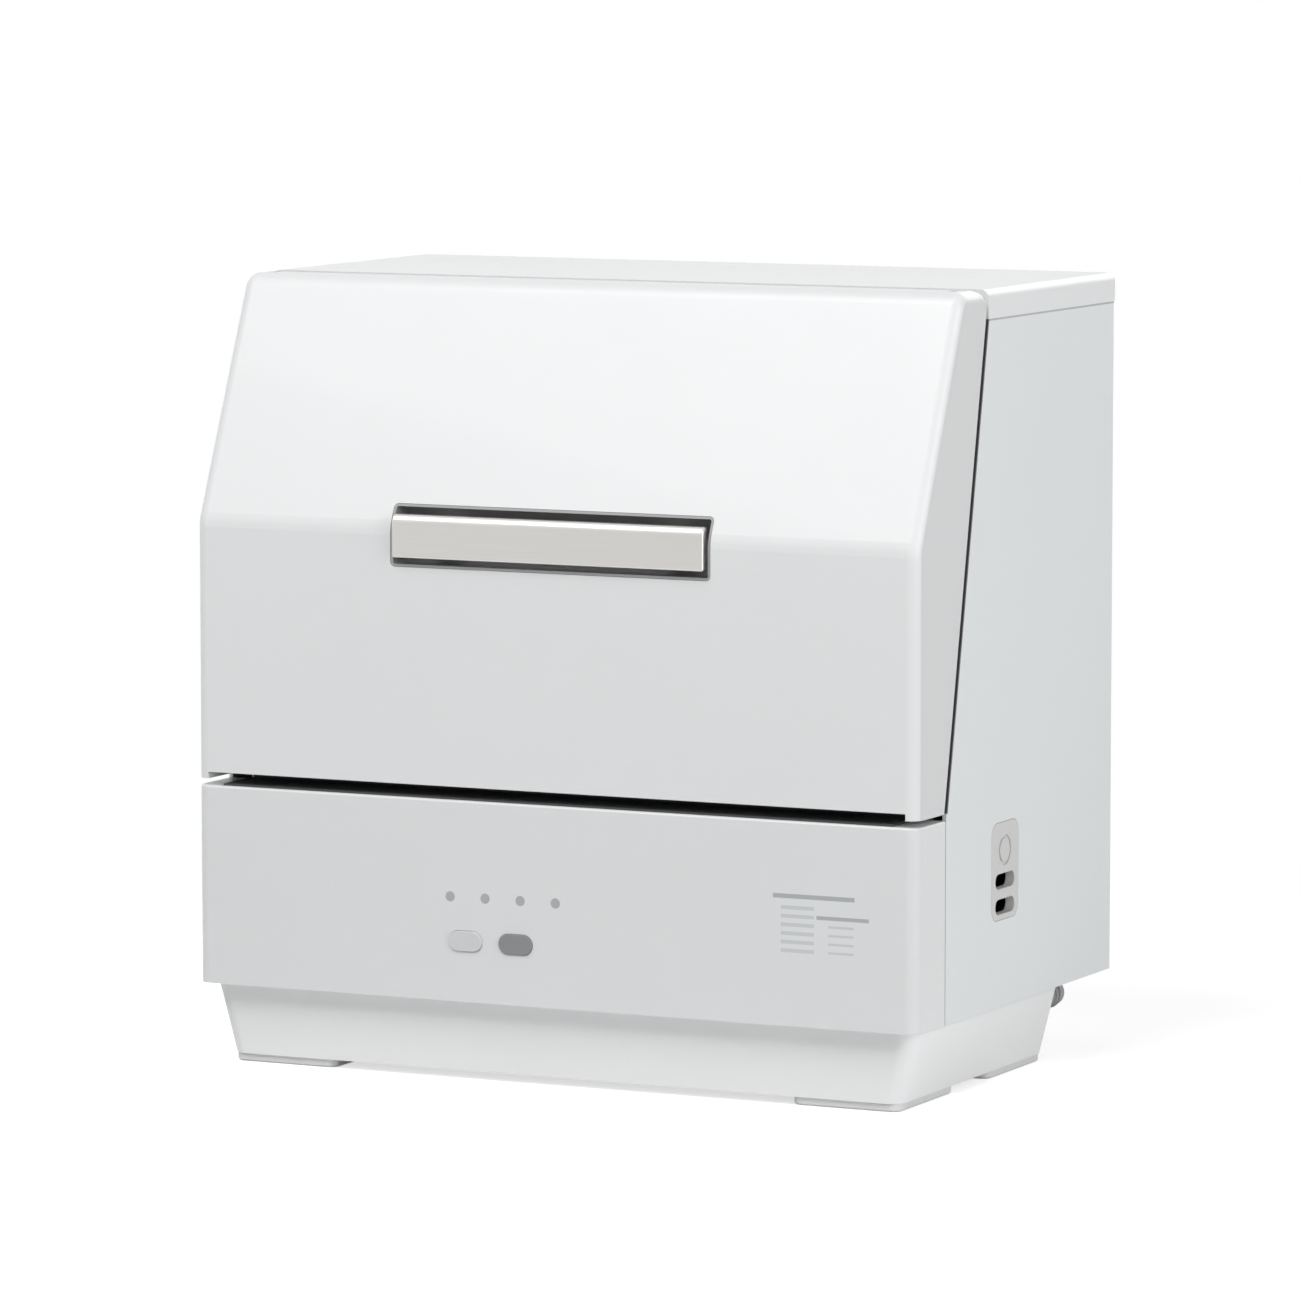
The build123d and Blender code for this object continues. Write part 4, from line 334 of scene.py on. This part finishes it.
side_low, side_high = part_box("side_panel_right")
fascia_low, fascia_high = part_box("front_panel")
side_shell = moulded("side_shell", roughness=0.42, grain=2700, grain_depth=0.02 * MM)
behind_seam = side_shell.y - side_low.y - tan(SEAM_LEAN) * (side_shell.z - fascia_high.z)
# Painted shadow: a dark line along the lid's seam, and a grey line of painted shade under the top cover.
seam_shadow = (behind_seam.size() < SEAM_SHADOW_HALF) * side_shell.z.between(lid_low.z, side_high.z)
under_cover_shadow = side_shell.z > side_high.z - COVER_SHADOW_BAND
side_white = drifting(side_shell, SIDE_DARKER, SIDE_WHITE)
cover_shaded = side_shell.blend(under_cover_shadow, side_white, COVER_SHADOW_GREY)
side_shell.colour(side_shell.blend(seam_shadow, cover_shaded, SEAM_SHADOW_GREY))
dress(side_shell, "side_panel_left", "side_panel_right")

# %% [markdown]
# The fascia carries a small printed table: two dark bars for its headings and two columns of paler
# bars for its rows. Such a print lies flat in the lacquer, so it is drawn in the finish and not as
# geometry. Each bar is a mask, given by its middle and its size in millimetres, and the masks are
# joined by taking the larger value. A last mask keeps them off everything but the front face.

# %% Printed table
FASCIA_WHITE = (0.755, 0.765, 0.77)
PRINT_GREY = (0.42, 0.44, 0.46)
PRINT_PALE = (0.60, 0.62, 0.64)
PRINT_REACH = 0.5 * MM
TABLE_TOP = 117
ROW_PITCH = 5
ROW_COUNT = 6
RIGHT_FIRST_ROW = 2
HEADING = {"x": 169.7, "z": 123.6, "width": 51.5, "height": 2.6}
SECOND_HEADING = {"x": 188, "z": TABLE_TOP - ROW_PITCH, "width": 33, "height": 2.2}
LEFT_COLUMN = {"x": 159.5, "width": 21, "height": 2.2}
RIGHT_COLUMN = {"x": 187, "width": 16, "height": 1.4}

fascia = moulded("fascia_white", roughness=0.36, coat=0.12, **SHELL_TEXTURE)


def bar_mask(finish, x, z, width, height):
    """1 inside an upright rectangle, given by its middle and size in millimetres."""
    across = finish.x.between((x - width / 2) * MM, (x + width / 2) * MM)
    return across * finish.z.between((z - height / 2) * MM, (z + height / 2) * MM)


def either(masks):
    """1 where any of the masks is 1."""
    whole, *others = masks
    for mask in others:
        whole = whole.or_more(mask)
    return whole


table_rows = [TABLE_TOP - ROW_PITCH * row for row in range(ROW_COUNT)]
left_bars = [bar_mask(fascia, z=z, **LEFT_COLUMN) for z in table_rows]
right_bars = [bar_mask(fascia, z=z, **RIGHT_COLUMN) for z in table_rows[RIGHT_FIRST_ROW:]]
front_only = fascia.y < fascia_low.y + PRINT_REACH
dark = either([bar_mask(fascia, **HEADING), bar_mask(fascia, **SECOND_HEADING)]) * front_only
pale = either(left_bars + right_bars) * front_only
fascia_white = drifting(fascia, darkened(FASCIA_WHITE, SHELL_TINT), FASCIA_WHITE)
fascia.colour(fascia.blend(dark, fascia.blend(pale, fascia_white, PRINT_PALE), PRINT_GREY))
dress(fascia, "front_panel")

# %% [markdown]
# ## Plinth, buttons and trim
# The plinth is paler than the shell: partly a lighter moulding, partly painted light that lifts it
# out of the shade under the body's overhang. Its coarser spark-eroded grain hides scratches. The
# finger cup is a mid grey, painted shade that reads as a shadow behind the bar, and the vent insert
# is a dull light grey.
# One button is pale and one dark, and both have a smooth coat where a finger presses.

# %% Plinth, buttons and trim
SPARK_ERODED = {"grain": 1800, "grain_depth": 0.04 * MM}
PLINTH_TEXTURE = {"grain": 1980, "grain_depth": 0.04 * MM}
# Painted light: the plinth's pale colour partly lifts it out of the shade under the overhang.
dress(plastic("plinth_pale_painted_light", (0.89, 0.895, 0.90), roughness=0.5, **PLINTH_TEXTURE), "base_tray")
dress(plastic("vent_grey", (0.66, 0.66, 0.655), roughness=0.55, **SPARK_ERODED), "side_vent")
# Painted shade: the finger cup's mid grey deepens the shadow behind the bar.
dress(plastic("cup_grey_painted_shade", (0.36, 0.36, 0.365), roughness=0.5, **SPARK_ERODED), "handle_cup")
dress(plastic("key_pale", (0.66, 0.67, 0.675), roughness=0.3, coat=0.2), "power_button")
dress(plastic("key_dark", (0.24, 0.245, 0.255), roughness=0.3, coat=0.2), "start_button")
dress(plastic("lamp_lens", (0.42, 0.43, 0.44), roughness=0.15, coat=0.5), "indicator_lenses")
# Partly painted shade: the drip channel seen through the gap under the lid is a near-black part that also
# keeps that gap as dark as deep shade.
dress(plastic("drip_dark_painted_shade", (0.05, 0.05, 0.052), roughness=0.55), "drip_channel")

# %% [markdown]
# ## Rubber
# Rubber is dull and always a little dusty: the dust shows as browner, rougher patches. The feet are
# pale pads. The hoses also have a cloth-like rib from their reinforcement, which is a fine wave.

# %% Rubber
DUST = (0.30, 0.29, 0.27)
DUST_SPREAD = 0.15
GRAIN_BETWEEN_RIBS = 0.3
RUBBER_DEPTH = 0.08 * MM


def rubber(name, colour, roughness, dust, ribs=0):
    """Dull rubber with dusty patches."""
    finish = Finish(name, roughness, specular=0.3)
    patches = finish.noise(scale=60, detail=5)
    finish.colour(finish.blend(patches * dust, colour, DUST))
    finish.roughness(roughness + DUST_SPREAD * patches)
    height = finish.noise(scale=1800, detail=2)
    if ribs:
        height = height * GRAIN_BETWEEN_RIBS + finish.waves(ribs, direction="DIAGONAL")
    finish.bump(height, RUBBER_DEPTH)
    return finish


dress(rubber("foot_rubber", (0.76, 0.765, 0.77), roughness=0.7, dust=0.05), "foot_pads")
dress(rubber("seal_rubber", (0.035, 0.035, 0.038), roughness=0.55, dust=0.10), "tub_seal")
dress(
    rubber("hose_rubber", (0.03, 0.03, 0.032), roughness=0.55, dust=0.15, ribs=260),
    "drain_hose", "fill_hose",
)

# %% [markdown]
# ## Metals
# Stainless sheet in the tub is brushed along its width, so its scratches are noise that is stretched
# a hundred times along X. Zinc-plated sheet has no brush marks but flat crystals, which Voronoi
# cells give. The pull bar is satin plated: almost even, with a very faint brush along its length.

# %% Metals
BRUSH_SHARE = 0.7
BRUSH_SHADE = 0.12
CRYSTAL_SHADE = 0.2
CRYSTAL_SPREAD = 0.1
CLOUD_SPREAD = 0.08
ZINC_DEPTH = 0.01 * MM


def brushed(name, colour, roughness, stretch, depth=0.012 * MM, spread=0.16):
    """Brushed metal, its scratches along the axis with the small stretch."""
    finish = Finish(name, roughness, metallic=1.0)
    lines = finish.noise(scale=900, detail=4, stretch=stretch)
    cloud = finish.noise(scale=12, detail=3)
    uneven = lines * BRUSH_SHARE + cloud * (1 - BRUSH_SHARE)
    finish.colour(finish.blend(uneven, darkened(colour, BRUSH_SHADE), colour))
    finish.roughness(roughness - spread / 2 + spread * lines)
    finish.bump(lines, depth)
    return finish


def plated(name, colour, roughness):
    """Zinc-plated sheet with flat crystals."""
    finish = Finish(name, roughness, metallic=1.0)
    crystals = finish.cells(scale=160, output="Color")
    cloud = finish.noise(scale=20, detail=3)
    finish.colour(finish.blend(crystals, darkened(colour, CRYSTAL_SHADE), colour))
    finish.roughness(roughness - CLOUD_SPREAD + CRYSTAL_SPREAD * crystals + CLOUD_SPREAD * cloud)
    finish.bump(finish.noise(scale=700, detail=2), ZINC_DEPTH)
    return finish


bar_satin = brushed(
    "bar_satin", (0.66, 0.645, 0.625), roughness=0.34, stretch=(0.02, 1, 1), depth=0.006 * MM, spread=0.08,
)
dress(bar_satin, "handle_bar")
dress(brushed("tub_steel", (0.62, 0.62, 0.63), roughness=0.30, stretch=(0.01, 1, 1)), "tub")
zinc_sheet = plated("zinc_sheet", (0.58, 0.59, 0.60), roughness=0.42)
dress(
    zinc_sheet, "rear_panel", "side_frame_left", "side_frame_right", "pump_cradle", "board_bracket",
)
fastener_steel = brushed("fastener_steel", (0.60, 0.60, 0.61), roughness=0.35, stretch=(1, 1, 0.1))
dress(fastener_steel, "rear_screws", "liner_screws", "hinge_pins", "catch_plates")
heater_sheath = brushed(
    "heater_sheath", (0.34, 0.31, 0.28), roughness=0.45, stretch=(1, 1, 1), depth=0.02 * MM,
)
dress(heater_sheath, "heater_element")

# %% [markdown]
# ## Inside the wash room and the base
# The inner pan of the lid, the rack parts, the spray arm and the pumps are dull technical plastics
# in greys. The rack's wire is dipped in nylon, which looks like thick, slightly wavy paint.

# %% Inner plastics
dress(plastic("liner_pale", (0.60, 0.61, 0.615), roughness=0.45), "lid_liner")
dress(
    plastic("rack_plastic", (0.36, 0.38, 0.40), roughness=0.5),
    "rack_rails", "rack_glides", "tine_clips", "cutlery_basket",
)
dress(
    plastic("water_grey", (0.40, 0.42, 0.44), roughness=0.48),
    "spray_arm", "filter_basket", "float_cup", "detergent_cup",
)
dress(
    plastic("pump_grey", (0.20, 0.215, 0.23), roughness=0.5),
    "sump", "wash_pump_housing", "drain_pump", "spray_hub", "spray_cap", "wash_rotor", "drain_rotor",
    "delivery_pipe",
)
dress(
    plastic("black_moulding", (0.03, 0.03, 0.03), roughness=0.5),
    "hinge_bushes", "cord_gland", "terminal_block",
)
valve_white = plastic("valve_white", (0.66, 0.65, 0.61), roughness=0.45)
dress(valve_white, "inlet_valve", "float_switch", "thermostat")
spigot_grey = plastic("spigot_grey", (0.30, 0.30, 0.30), roughness=0.45)
dress(spigot_grey, "drain_spigot")
dress(
    plastic("nylon_wire", (0.50, 0.51, 0.52), roughness=0.32, grain=450, grain_depth=0.06 * MM, coat=0.1),
    "rack_floor", "rack_ends", "rack_sides", "fixed_tines", "folding_tines",
)

# %% [markdown]
# ## Motor
# The motor shows a stack of thin steel laminations, so its finish has fine bands along its axis, X,
# a pale one for each sheet and a dark one for each gap.

# %% Motor
LAMINATION_GAP = (0.06, 0.062, 0.066)
LAMINATION_STEEL = (0.16, 0.165, 0.17)
LAMINATION_DEPTH = 0.2 * MM

laminations = Finish("motor_laminations", roughness=0.45, metallic=0.6)
stack = laminations.waves(scale=330, direction="X")
laminations.colour(laminations.blend(stack, LAMINATION_GAP, LAMINATION_STEEL))
laminations.bump(stack, LAMINATION_DEPTH)
dress(laminations, "wash_motor")

# %% [markdown]
# ## Magnets
# The catch's magnets are pressed from ferrite powder. The distance to the nearest of many small
# cells gives such grains, dark in the middle and paler where two of them meet.

# %% Magnets
FERRITE_DARK = (0.03, 0.03, 0.03)
FERRITE_PALE = (0.10, 0.10, 0.10)
FERRITE_DEPTH = 0.05 * MM

ferrite = Finish("ferrite", roughness=0.6, metallic=0.3)
grains = ferrite.cells(scale=900)
ferrite.colour(ferrite.blend(grains, FERRITE_DARK, FERRITE_PALE))
ferrite.bump(grains, FERRITE_DEPTH)
dress(ferrite, "catch_magnets")

# %% [markdown]
# ## Circuit board
# The board is green lacquer over copper tracks. A brick pattern's joints, one shade lighter, stand
# for the tracks: it needs no picture of a board and keeps its size.

# %% Circuit board
LACQUER_GREEN = (0.012, 0.10, 0.035)
TRACK_GREEN = (0.05, 0.22, 0.10)
TRACK_STRETCH = (70, 70, 160)
TRACK_WIDTH_SHARE = 0.06
TRACK_DEPTH = 0.04 * MM

board = Finish("board_lacquer", roughness=0.3, coat=0.3)
track_sockets = {"Vector": board.stretched(TRACK_STRETCH), "Mortar Size": TRACK_WIDTH_SHARE}
tracks = board.number("ShaderNodeTexBrick", {}, track_sockets, "Fac")
board.colour(board.blend(tracks, LACQUER_GREEN, TRACK_GREEN))
board.bump(tracks, TRACK_DEPTH)
dress(board, "control_board")

# %% [markdown]
# ## One piece from many copies
# Screw heads, louvres and barbs repeat. Each is made once, as a small mesh, and copied to its
# places inside one piece, which rides on the cabinet. The places are in the mesh itself, so the
# object stays at the origin, as a solid's does.


# %% Copies
def joined_copies(name, source, places, finish, body, slot, *replaced):
    """One piece from a small mesh that is repeated at several places."""
    whole = bmesh.new()
    for place in places:
        copy = bpy.data.meshes.new(name + "_copy")
        source.to_mesh(copy)
        copy.transform(place)
        whole.from_mesh(copy)
        bpy.data.meshes.remove(copy)
    shape = bpy.data.meshes.new(name)
    whole.to_mesh(shape)
    whole.free()
    source.free()
    piece = bpy.data.objects.new(name, shape)
    bpy.context.scene.collection.objects.link(piece)
    piece.data.materials.append(finish.material)
    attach(piece, body)
    if replaced:
        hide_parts(*replaced)
    print(name, "has", len(shape.polygons), "faces")


# %% [markdown]
# ## Screws with a cross recess
# The solid model's screws are plain discs. A real pan-head screw has a low dome and a cross recess.
# One head is made from four circles, bridged into a dome. A cross is bridged to the last of them,
# which gives a face with a hole of the right form, and is pushed in. The heads sit on the side
# panels' returns, in a row on each side of the back sheet, and no two are turned alike.

# %% Screw heads
SCREW_RADIUS = 3.5 * MM
SCREW_HEIGHT = 1.8 * MM
SCREW_SIDES = 24
SCREW_ROWS = 4
SCREW_MARGIN = 30 * MM
SCREW_TURNS = (radians(31), radians(12))
DOME_SHARES = ((1.0, 0.0), (1.0, 0.45), (0.9, 0.8), (0.68, 0.98))
CROSS_ARM_SHARE = 0.46
CROSS_WIDTH_SHARE = 0.15
CROSS_DEPTH_SHARE = 0.7


def circle_edges(mesh, radius, height):
    """The edges of a circle round the Z axis, in order."""
    place = Matrix.Translation((0, 0, height))
    made = bmesh.ops.create_circle(mesh, segments=SCREW_SIDES, radius=radius, matrix=place)
    return [edge for vert in made["verts"] for edge in vert.link_edges if edge.verts[0] == vert]


def screw_head(radius, height):
    """A pan head that faces +Z, its underside on the plane z = 0."""
    mesh = bmesh.new()
    rings = [circle_edges(mesh, radius * share, height * rise) for share, rise in DOME_SHARES]
    for lower, upper in zip(rings, rings[1:]):
        bmesh.ops.bridge_loops(mesh, edges=lower + upper)
    bmesh.ops.edgeloop_fill(mesh, edges=rings[0])
    arm, half = radius * CROSS_ARM_SHARE, radius * CROSS_WIDTH_SHARE
    corners = []
    for quarter in range(4):
        turn = Matrix.Rotation(quarter * pi / 2, 4, "Z")
        for x, y in ((half, -half), (arm, -half), (arm, half)):
            corners.append(mesh.verts.new(turn @ Vector((x, y, height))))
    cross = [mesh.edges.new((corners[step - 1], corner)) for step, corner in enumerate(corners)]
    bmesh.ops.bridge_loops(mesh, edges=rings[-1] + cross)
    floor = mesh.faces.new(corners)
    deeper = bmesh.ops.extrude_face_region(mesh, geom=[floor])
    sunk = [item for item in deeper["geom"] if isinstance(item, bmesh.types.BMVert)]
    bmesh.ops.translate(mesh, verts=sunk, vec=(0, 0, -height * CROSS_DEPTH_SHARE))
    bmesh.ops.delete(mesh, geom=[floor], context="FACES_ONLY")
    bmesh.ops.recalc_face_normals(mesh, faces=mesh.faces)
    return mesh


sheet_low, sheet_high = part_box("rear_panel")
screw_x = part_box("rear_screws")[1].x - SCREW_RADIUS
screw_pitch = (sheet_high.z - sheet_low.z - 2 * SCREW_MARGIN) / (SCREW_ROWS - 1)
screw_places = [
    Matrix.Translation((side * screw_x, side_high.y, sheet_low.z + SCREW_MARGIN + row * screw_pitch))
    @ Matrix.Rotation(-pi / 2, 4, "X")
    @ Matrix.Rotation(SCREW_TURNS[0] * row + SCREW_TURNS[1] * side, 4, "Z")
    for row in range(SCREW_ROWS) for side in (-1, 1)
]
joined_copies(
    "rear_screw_heads", screw_head(SCREW_RADIUS, SCREW_HEIGHT), screw_places,
    fastener_steel, "cabinet", "fastener_steel", "rear_screws",
)

# %% [markdown]
# ## Louvres on the back sheet
# The slots in the back sheet are pressed out into hoods that open downwards, so that steam leaves
# and drips stay out. A hood is a long, flat quarter of an egg: a UV sphere laid on its side, cut by
# two planes with bisect_plane, and given the sheet's thickness with solidify.

# %% Louvres
LOUVRE_LENGTH = 72 * MM
LOUVRE_HEIGHT = 5.5 * MM
LOUVRE_STAND = 2.2 * MM
LOUVRE_SHEET = 0.5 * MM
LOUVRE_DROP = 1.5 * MM
LOUVRE_X = 125 * MM
LOUVRE_RISE = 81 * MM
LOUVRE_PITCH = 10 * MM
LOUVRE_ROWS = 7
MERGE_GAP = 0.02 * MM


def louvre_hood(length, height, stand, thickness):
    """A hood that stands out towards +Y and opens downwards."""
    mesh = bmesh.new()
    bmesh.ops.create_uvsphere(mesh, u_segments=20, v_segments=12, radius=1)
    mesh.transform(Matrix.Rotation(pi / 2, 4, "Y"))
    mesh.transform(Matrix.Diagonal((length / 2, stand, height, 1)))
    for normal in ((0, -1, 0), (0, 0, -1)):
        everything = mesh.verts[:] + mesh.edges[:] + mesh.faces[:]
        bmesh.ops.bisect_plane(
            mesh, geom=everything, plane_co=(0, 0, 0), plane_no=normal, clear_outer=True,
        )
    bmesh.ops.remove_doubles(mesh, verts=mesh.verts, dist=MERGE_GAP)
    bmesh.ops.recalc_face_normals(mesh, faces=mesh.faces)
    bmesh.ops.solidify(mesh, geom=mesh.faces[:], thickness=thickness)
    return mesh


louvre_middle = side_low.z + LOUVRE_RISE - LOUVRE_DROP
louvre_steps = [row - (LOUVRE_ROWS - 1) / 2 for row in range(LOUVRE_ROWS)]
louvre_places = [
    Matrix.Translation((side * LOUVRE_X, sheet_high.y, louvre_middle + step * LOUVRE_PITCH))
    for step in louvre_steps for side in (-1, 1)
]
hood = louvre_hood(LOUVRE_LENGTH, LOUVRE_HEIGHT, LOUVRE_STAND, LOUVRE_SHEET)
joined_copies("rear_louvres", hood, louvre_places, zinc_sheet, "cabinet", "zinc_sheet")

# %% [markdown]
# ## Thread and barbs on the hose ports
# The water inlet carries a coarse pipe thread and the drain spigot three barbs. Both ports are
# mounts of the part, so the frame says where they end and how thick they are. The thread is one
# small triangle, spun round the axis while each step also moves it along. The barbs are saw-tooth
# rings, a profile spun once and merged with itself. Both are sunk a little into their port.

# %% Ports
PORT_SINK = 0.1 * MM
mounts = {mount["name"]: mount for mount in frame["record"]["mounts"]}
print("mounts:", ", ".join(mounts))


def port_radius(name):
    """The radius of a port, in metres."""
    return mounts[name]["dims"]["r_mm"] * MM


def port_place(name, setback):
    """A place on the axis of a port that points to +Y, so far before its end."""
    x, y, z = mounts[name]["pos_m"]
    end = y + mounts[name]["dims"]["length_mm"] * MM / 2
    return Matrix.Translation((x, end - setback, z))


def spun(profile, turns, steps, pitch=0):
    """A closed profile of (radius, y) points, spun about the Y axis as a ring or a thread."""
    mesh = bmesh.new()
    corners = [mesh.verts.new((radius, along, 0)) for radius, along in profile]
    face = mesh.faces.new(corners)
    geometry = [face]
    if not pitch:
        geometry = list(face.edges)
        bmesh.ops.delete(mesh, geom=[face], context="FACES_ONLY")
    bmesh.ops.spin(
        mesh, geom=geometry + corners, cent=(0, 0, 0), axis=(0, 1, 0), dvec=(0, pitch / steps, 0),
        angle=2 * pi * turns, steps=steps * turns, use_merge=not pitch,
    )
    bmesh.ops.recalc_face_normals(mesh, faces=mesh.faces)
    return mesh


# %% [markdown]
# The thread of the inlet is coarse, with a triangle nearly as deep as it is wide. It ends just
# before the port does, so that a nut finds its first turn without catching.

# %% Thread
THREAD_PITCH = 1.8 * MM
THREAD_DEPTH = 1.1 * MM
THREAD_TURNS = 9
THREAD_STEPS = 28
THREAD_FLANK_SHARE = 0.4
THREAD_SETBACK = 18.5 * MM

thread_root = port_radius("water_inlet_pin") - PORT_SINK
thread_crest = port_radius("water_inlet_pin") + THREAD_DEPTH
thread_flank = THREAD_PITCH * THREAD_FLANK_SHARE
thread_profile = ((thread_root, 0), (thread_crest, thread_flank), (thread_root, 2 * thread_flank))
joined_copies(
    "inlet_thread", spun(thread_profile, THREAD_TURNS, THREAD_STEPS, THREAD_PITCH),
    [port_place("water_inlet_pin", THREAD_SETBACK)],
    valve_white, "cabinet", "valve_plastic",
)

# %% [markdown]
# A barb rises steeply on the cabinet's side and falls away slowly towards the end of the spigot, so
# that a hose slides on easily and doesn't slip off. Three in a row hold it.

# %% Barbs
BARB_RISE = 1.0 * MM
BARB_LIP = 0.3 * MM
BARB_LAND = 0.5 * MM
BARB_LENGTH = 4.5 * MM
BARB_PITCH = 6 * MM
BARB_COUNT = 3
BARB_SETBACK = 20 * MM
BARB_STEPS = 32

barb_root = port_radius("drain_spigot_pin") - PORT_SINK
barb_crest = port_radius("drain_spigot_pin") + BARB_RISE
barb_profile = (
    (barb_root, 0), (barb_crest, BARB_LIP), (barb_crest, BARB_LIP + BARB_LAND),
    (barb_root, BARB_LENGTH),
)
barb_places = [
    port_place("drain_spigot_pin", BARB_SETBACK - step * BARB_PITCH) for step in range(BARB_COUNT)
]
joined_copies(
    "spigot_barbs", spun(barb_profile, turns=1, steps=BARB_STEPS), barb_places,
    spigot_grey, "cabinet", "spigot_plastic",
)

# %% [markdown]
# ## Studio
# Floor and world look plain white without flooding the body with light. Light Path tells a ray
# that looks at a surface, from the camera, through glass or off a gloss, from one that carries
# light. The first kind sees white; the second meets a quiet world and a grey floor, so that the
# body still throws its soft shadow.

# %% Rays that look
WHITE = (1, 1, 1)


def looking(tree):
    """1 for the rays that look at a surface, and 0 for those that carry light."""
    path = tree.node("ShaderNodeLightPath")
    kinds = ("Is Camera Ray", "Is Glossy Ray", "Is Transmission Ray")
    return either([Number(tree, path.outputs[kind]) for kind in kinds])


def glowing(tree, strength):
    """White light of its own."""
    return tree.node("ShaderNodeEmission", {}, {"Color": WHITE, "Strength": strength})


# %% [markdown]
# The world is one even light. It looks white, but what it sends to the body is about an eighth of
# that, so that the lamps and not the world shape the form.

# %% World
WORLD_LIGHT = 0.12
world = bpy.data.worlds.new("studio_world")
world.use_nodes = True
bpy.context.scene.world = world
sky = Tree(world.node_tree)
sky.node_tree.nodes.clear()
quiet = sky.node("ShaderNodeBackground", {}, {"Color": WHITE, "Strength": WORLD_LIGHT})
bright = sky.node("ShaderNodeBackground", {}, {"Color": WHITE, "Strength": 1})
sky_surface = sky.chosen(looking(sky), quiet, bright)
sky.node("ShaderNodeOutputWorld", {}, {"Surface": sky_surface.outputs[0]})
print("world light:", WORLD_LIGHT)

# %% [markdown]
# The floor's paper is lit by the lamps, which brings the shadow, and adds a glow for the rays that
# look at it. The lamps fade with distance, so far paper would turn grey. A ramp over the distance
# from the body therefore hands over from this paper to pure white, for those same rays.

# %% Floor
FLOOR_SIZE = 12
FLOOR_DROP = 0.2 * MM
PAPER_GREY = (0.72, 0.72, 0.72)
PAPER_GLOW = 0.62
WHITE_FROM = 0.42
WHITE_TO = 0.95

floor_shape = bmesh.new()
bmesh.ops.create_grid(floor_shape, x_segments=2, y_segments=2, size=FLOOR_SIZE / 2)
floor_mesh = bpy.data.meshes.new("studio_floor")
floor_shape.to_mesh(floor_mesh)
floor_shape.free()
floor = bpy.data.objects.new("studio_floor", floor_mesh)
floor.location.z = -FLOOR_DROP
bpy.context.scene.collection.objects.link(floor)

paper = bpy.data.materials.new("studio_paper")
paper.use_nodes = True
wiring = Tree(paper.node_tree)
wiring.node_tree.nodes.clear()
looks = looking(wiring)
lit = wiring.node("ShaderNodeBsdfDiffuse", {}, {"Color": PAPER_GREY})
seen_glow = wiring.chosen(looks, glowing(wiring, 0), glowing(wiring, PAPER_GLOW))
near = wiring.node("ShaderNodeAddShader", {}, {0: lit.outputs[0], 1: seen_glow.outputs[0]})
place = wiring.node("ShaderNodeTexCoord").outputs["Object"]
distance = wiring.number("ShaderNodeVectorMath", {"operation": "LENGTH"}, {0: place}, "Value")
fade_sockets = {"Value": distance, "From Min": WHITE_FROM, "From Max": WHITE_TO}
fade = wiring.number("ShaderNodeMapRange", {"interpolation_type": "SMOOTHSTEP"}, fade_sockets)
paper_surface = wiring.chosen(fade * looks, near, glowing(wiring, 1))
wiring.node("ShaderNodeOutputMaterial", {}, {"Surface": paper_surface.outputs[0]})
floor_mesh.materials.append(paper)
print("floor:", FLOOR_SIZE, "m wide, pure white beyond", WHITE_TO, "m")

# %% [markdown]
# Four large soft lamps light the body: a strong one above, in front and to the left, which makes
# the sloped face the brightest, one to the right for the side, a weak one to the left that fills in,
# and one behind so that the rear views are lit as well.

# %% Lamps
LAMP_AIM = Vector((0, 0, 0.25))


def lamp(name, place, size, power):
    """A square area lamp that points at the middle of the body."""
    data = bpy.data.lights.new(name, "AREA")
    data.size = size
    data.energy = power
    made = bpy.data.objects.new(name, data)
    made.location = place
    made.rotation_euler = (LAMP_AIM - Vector(place)).to_track_quat("-Z", "Y").to_euler()
    bpy.context.scene.collection.objects.link(made)


lamp("lamp_top", place=(-0.6, -1.65, 2.7), size=1.8, power=64)
lamp("lamp_right", place=(2.6, -0.9, 1.0), size=1.6, power=38)
lamp("lamp_left", place=(-2.4, -1.4, 0.9), size=1.6, power=5)
lamp("lamp_rear", place=(0.4, 2.8, 1.6), size=1.8, power=26)
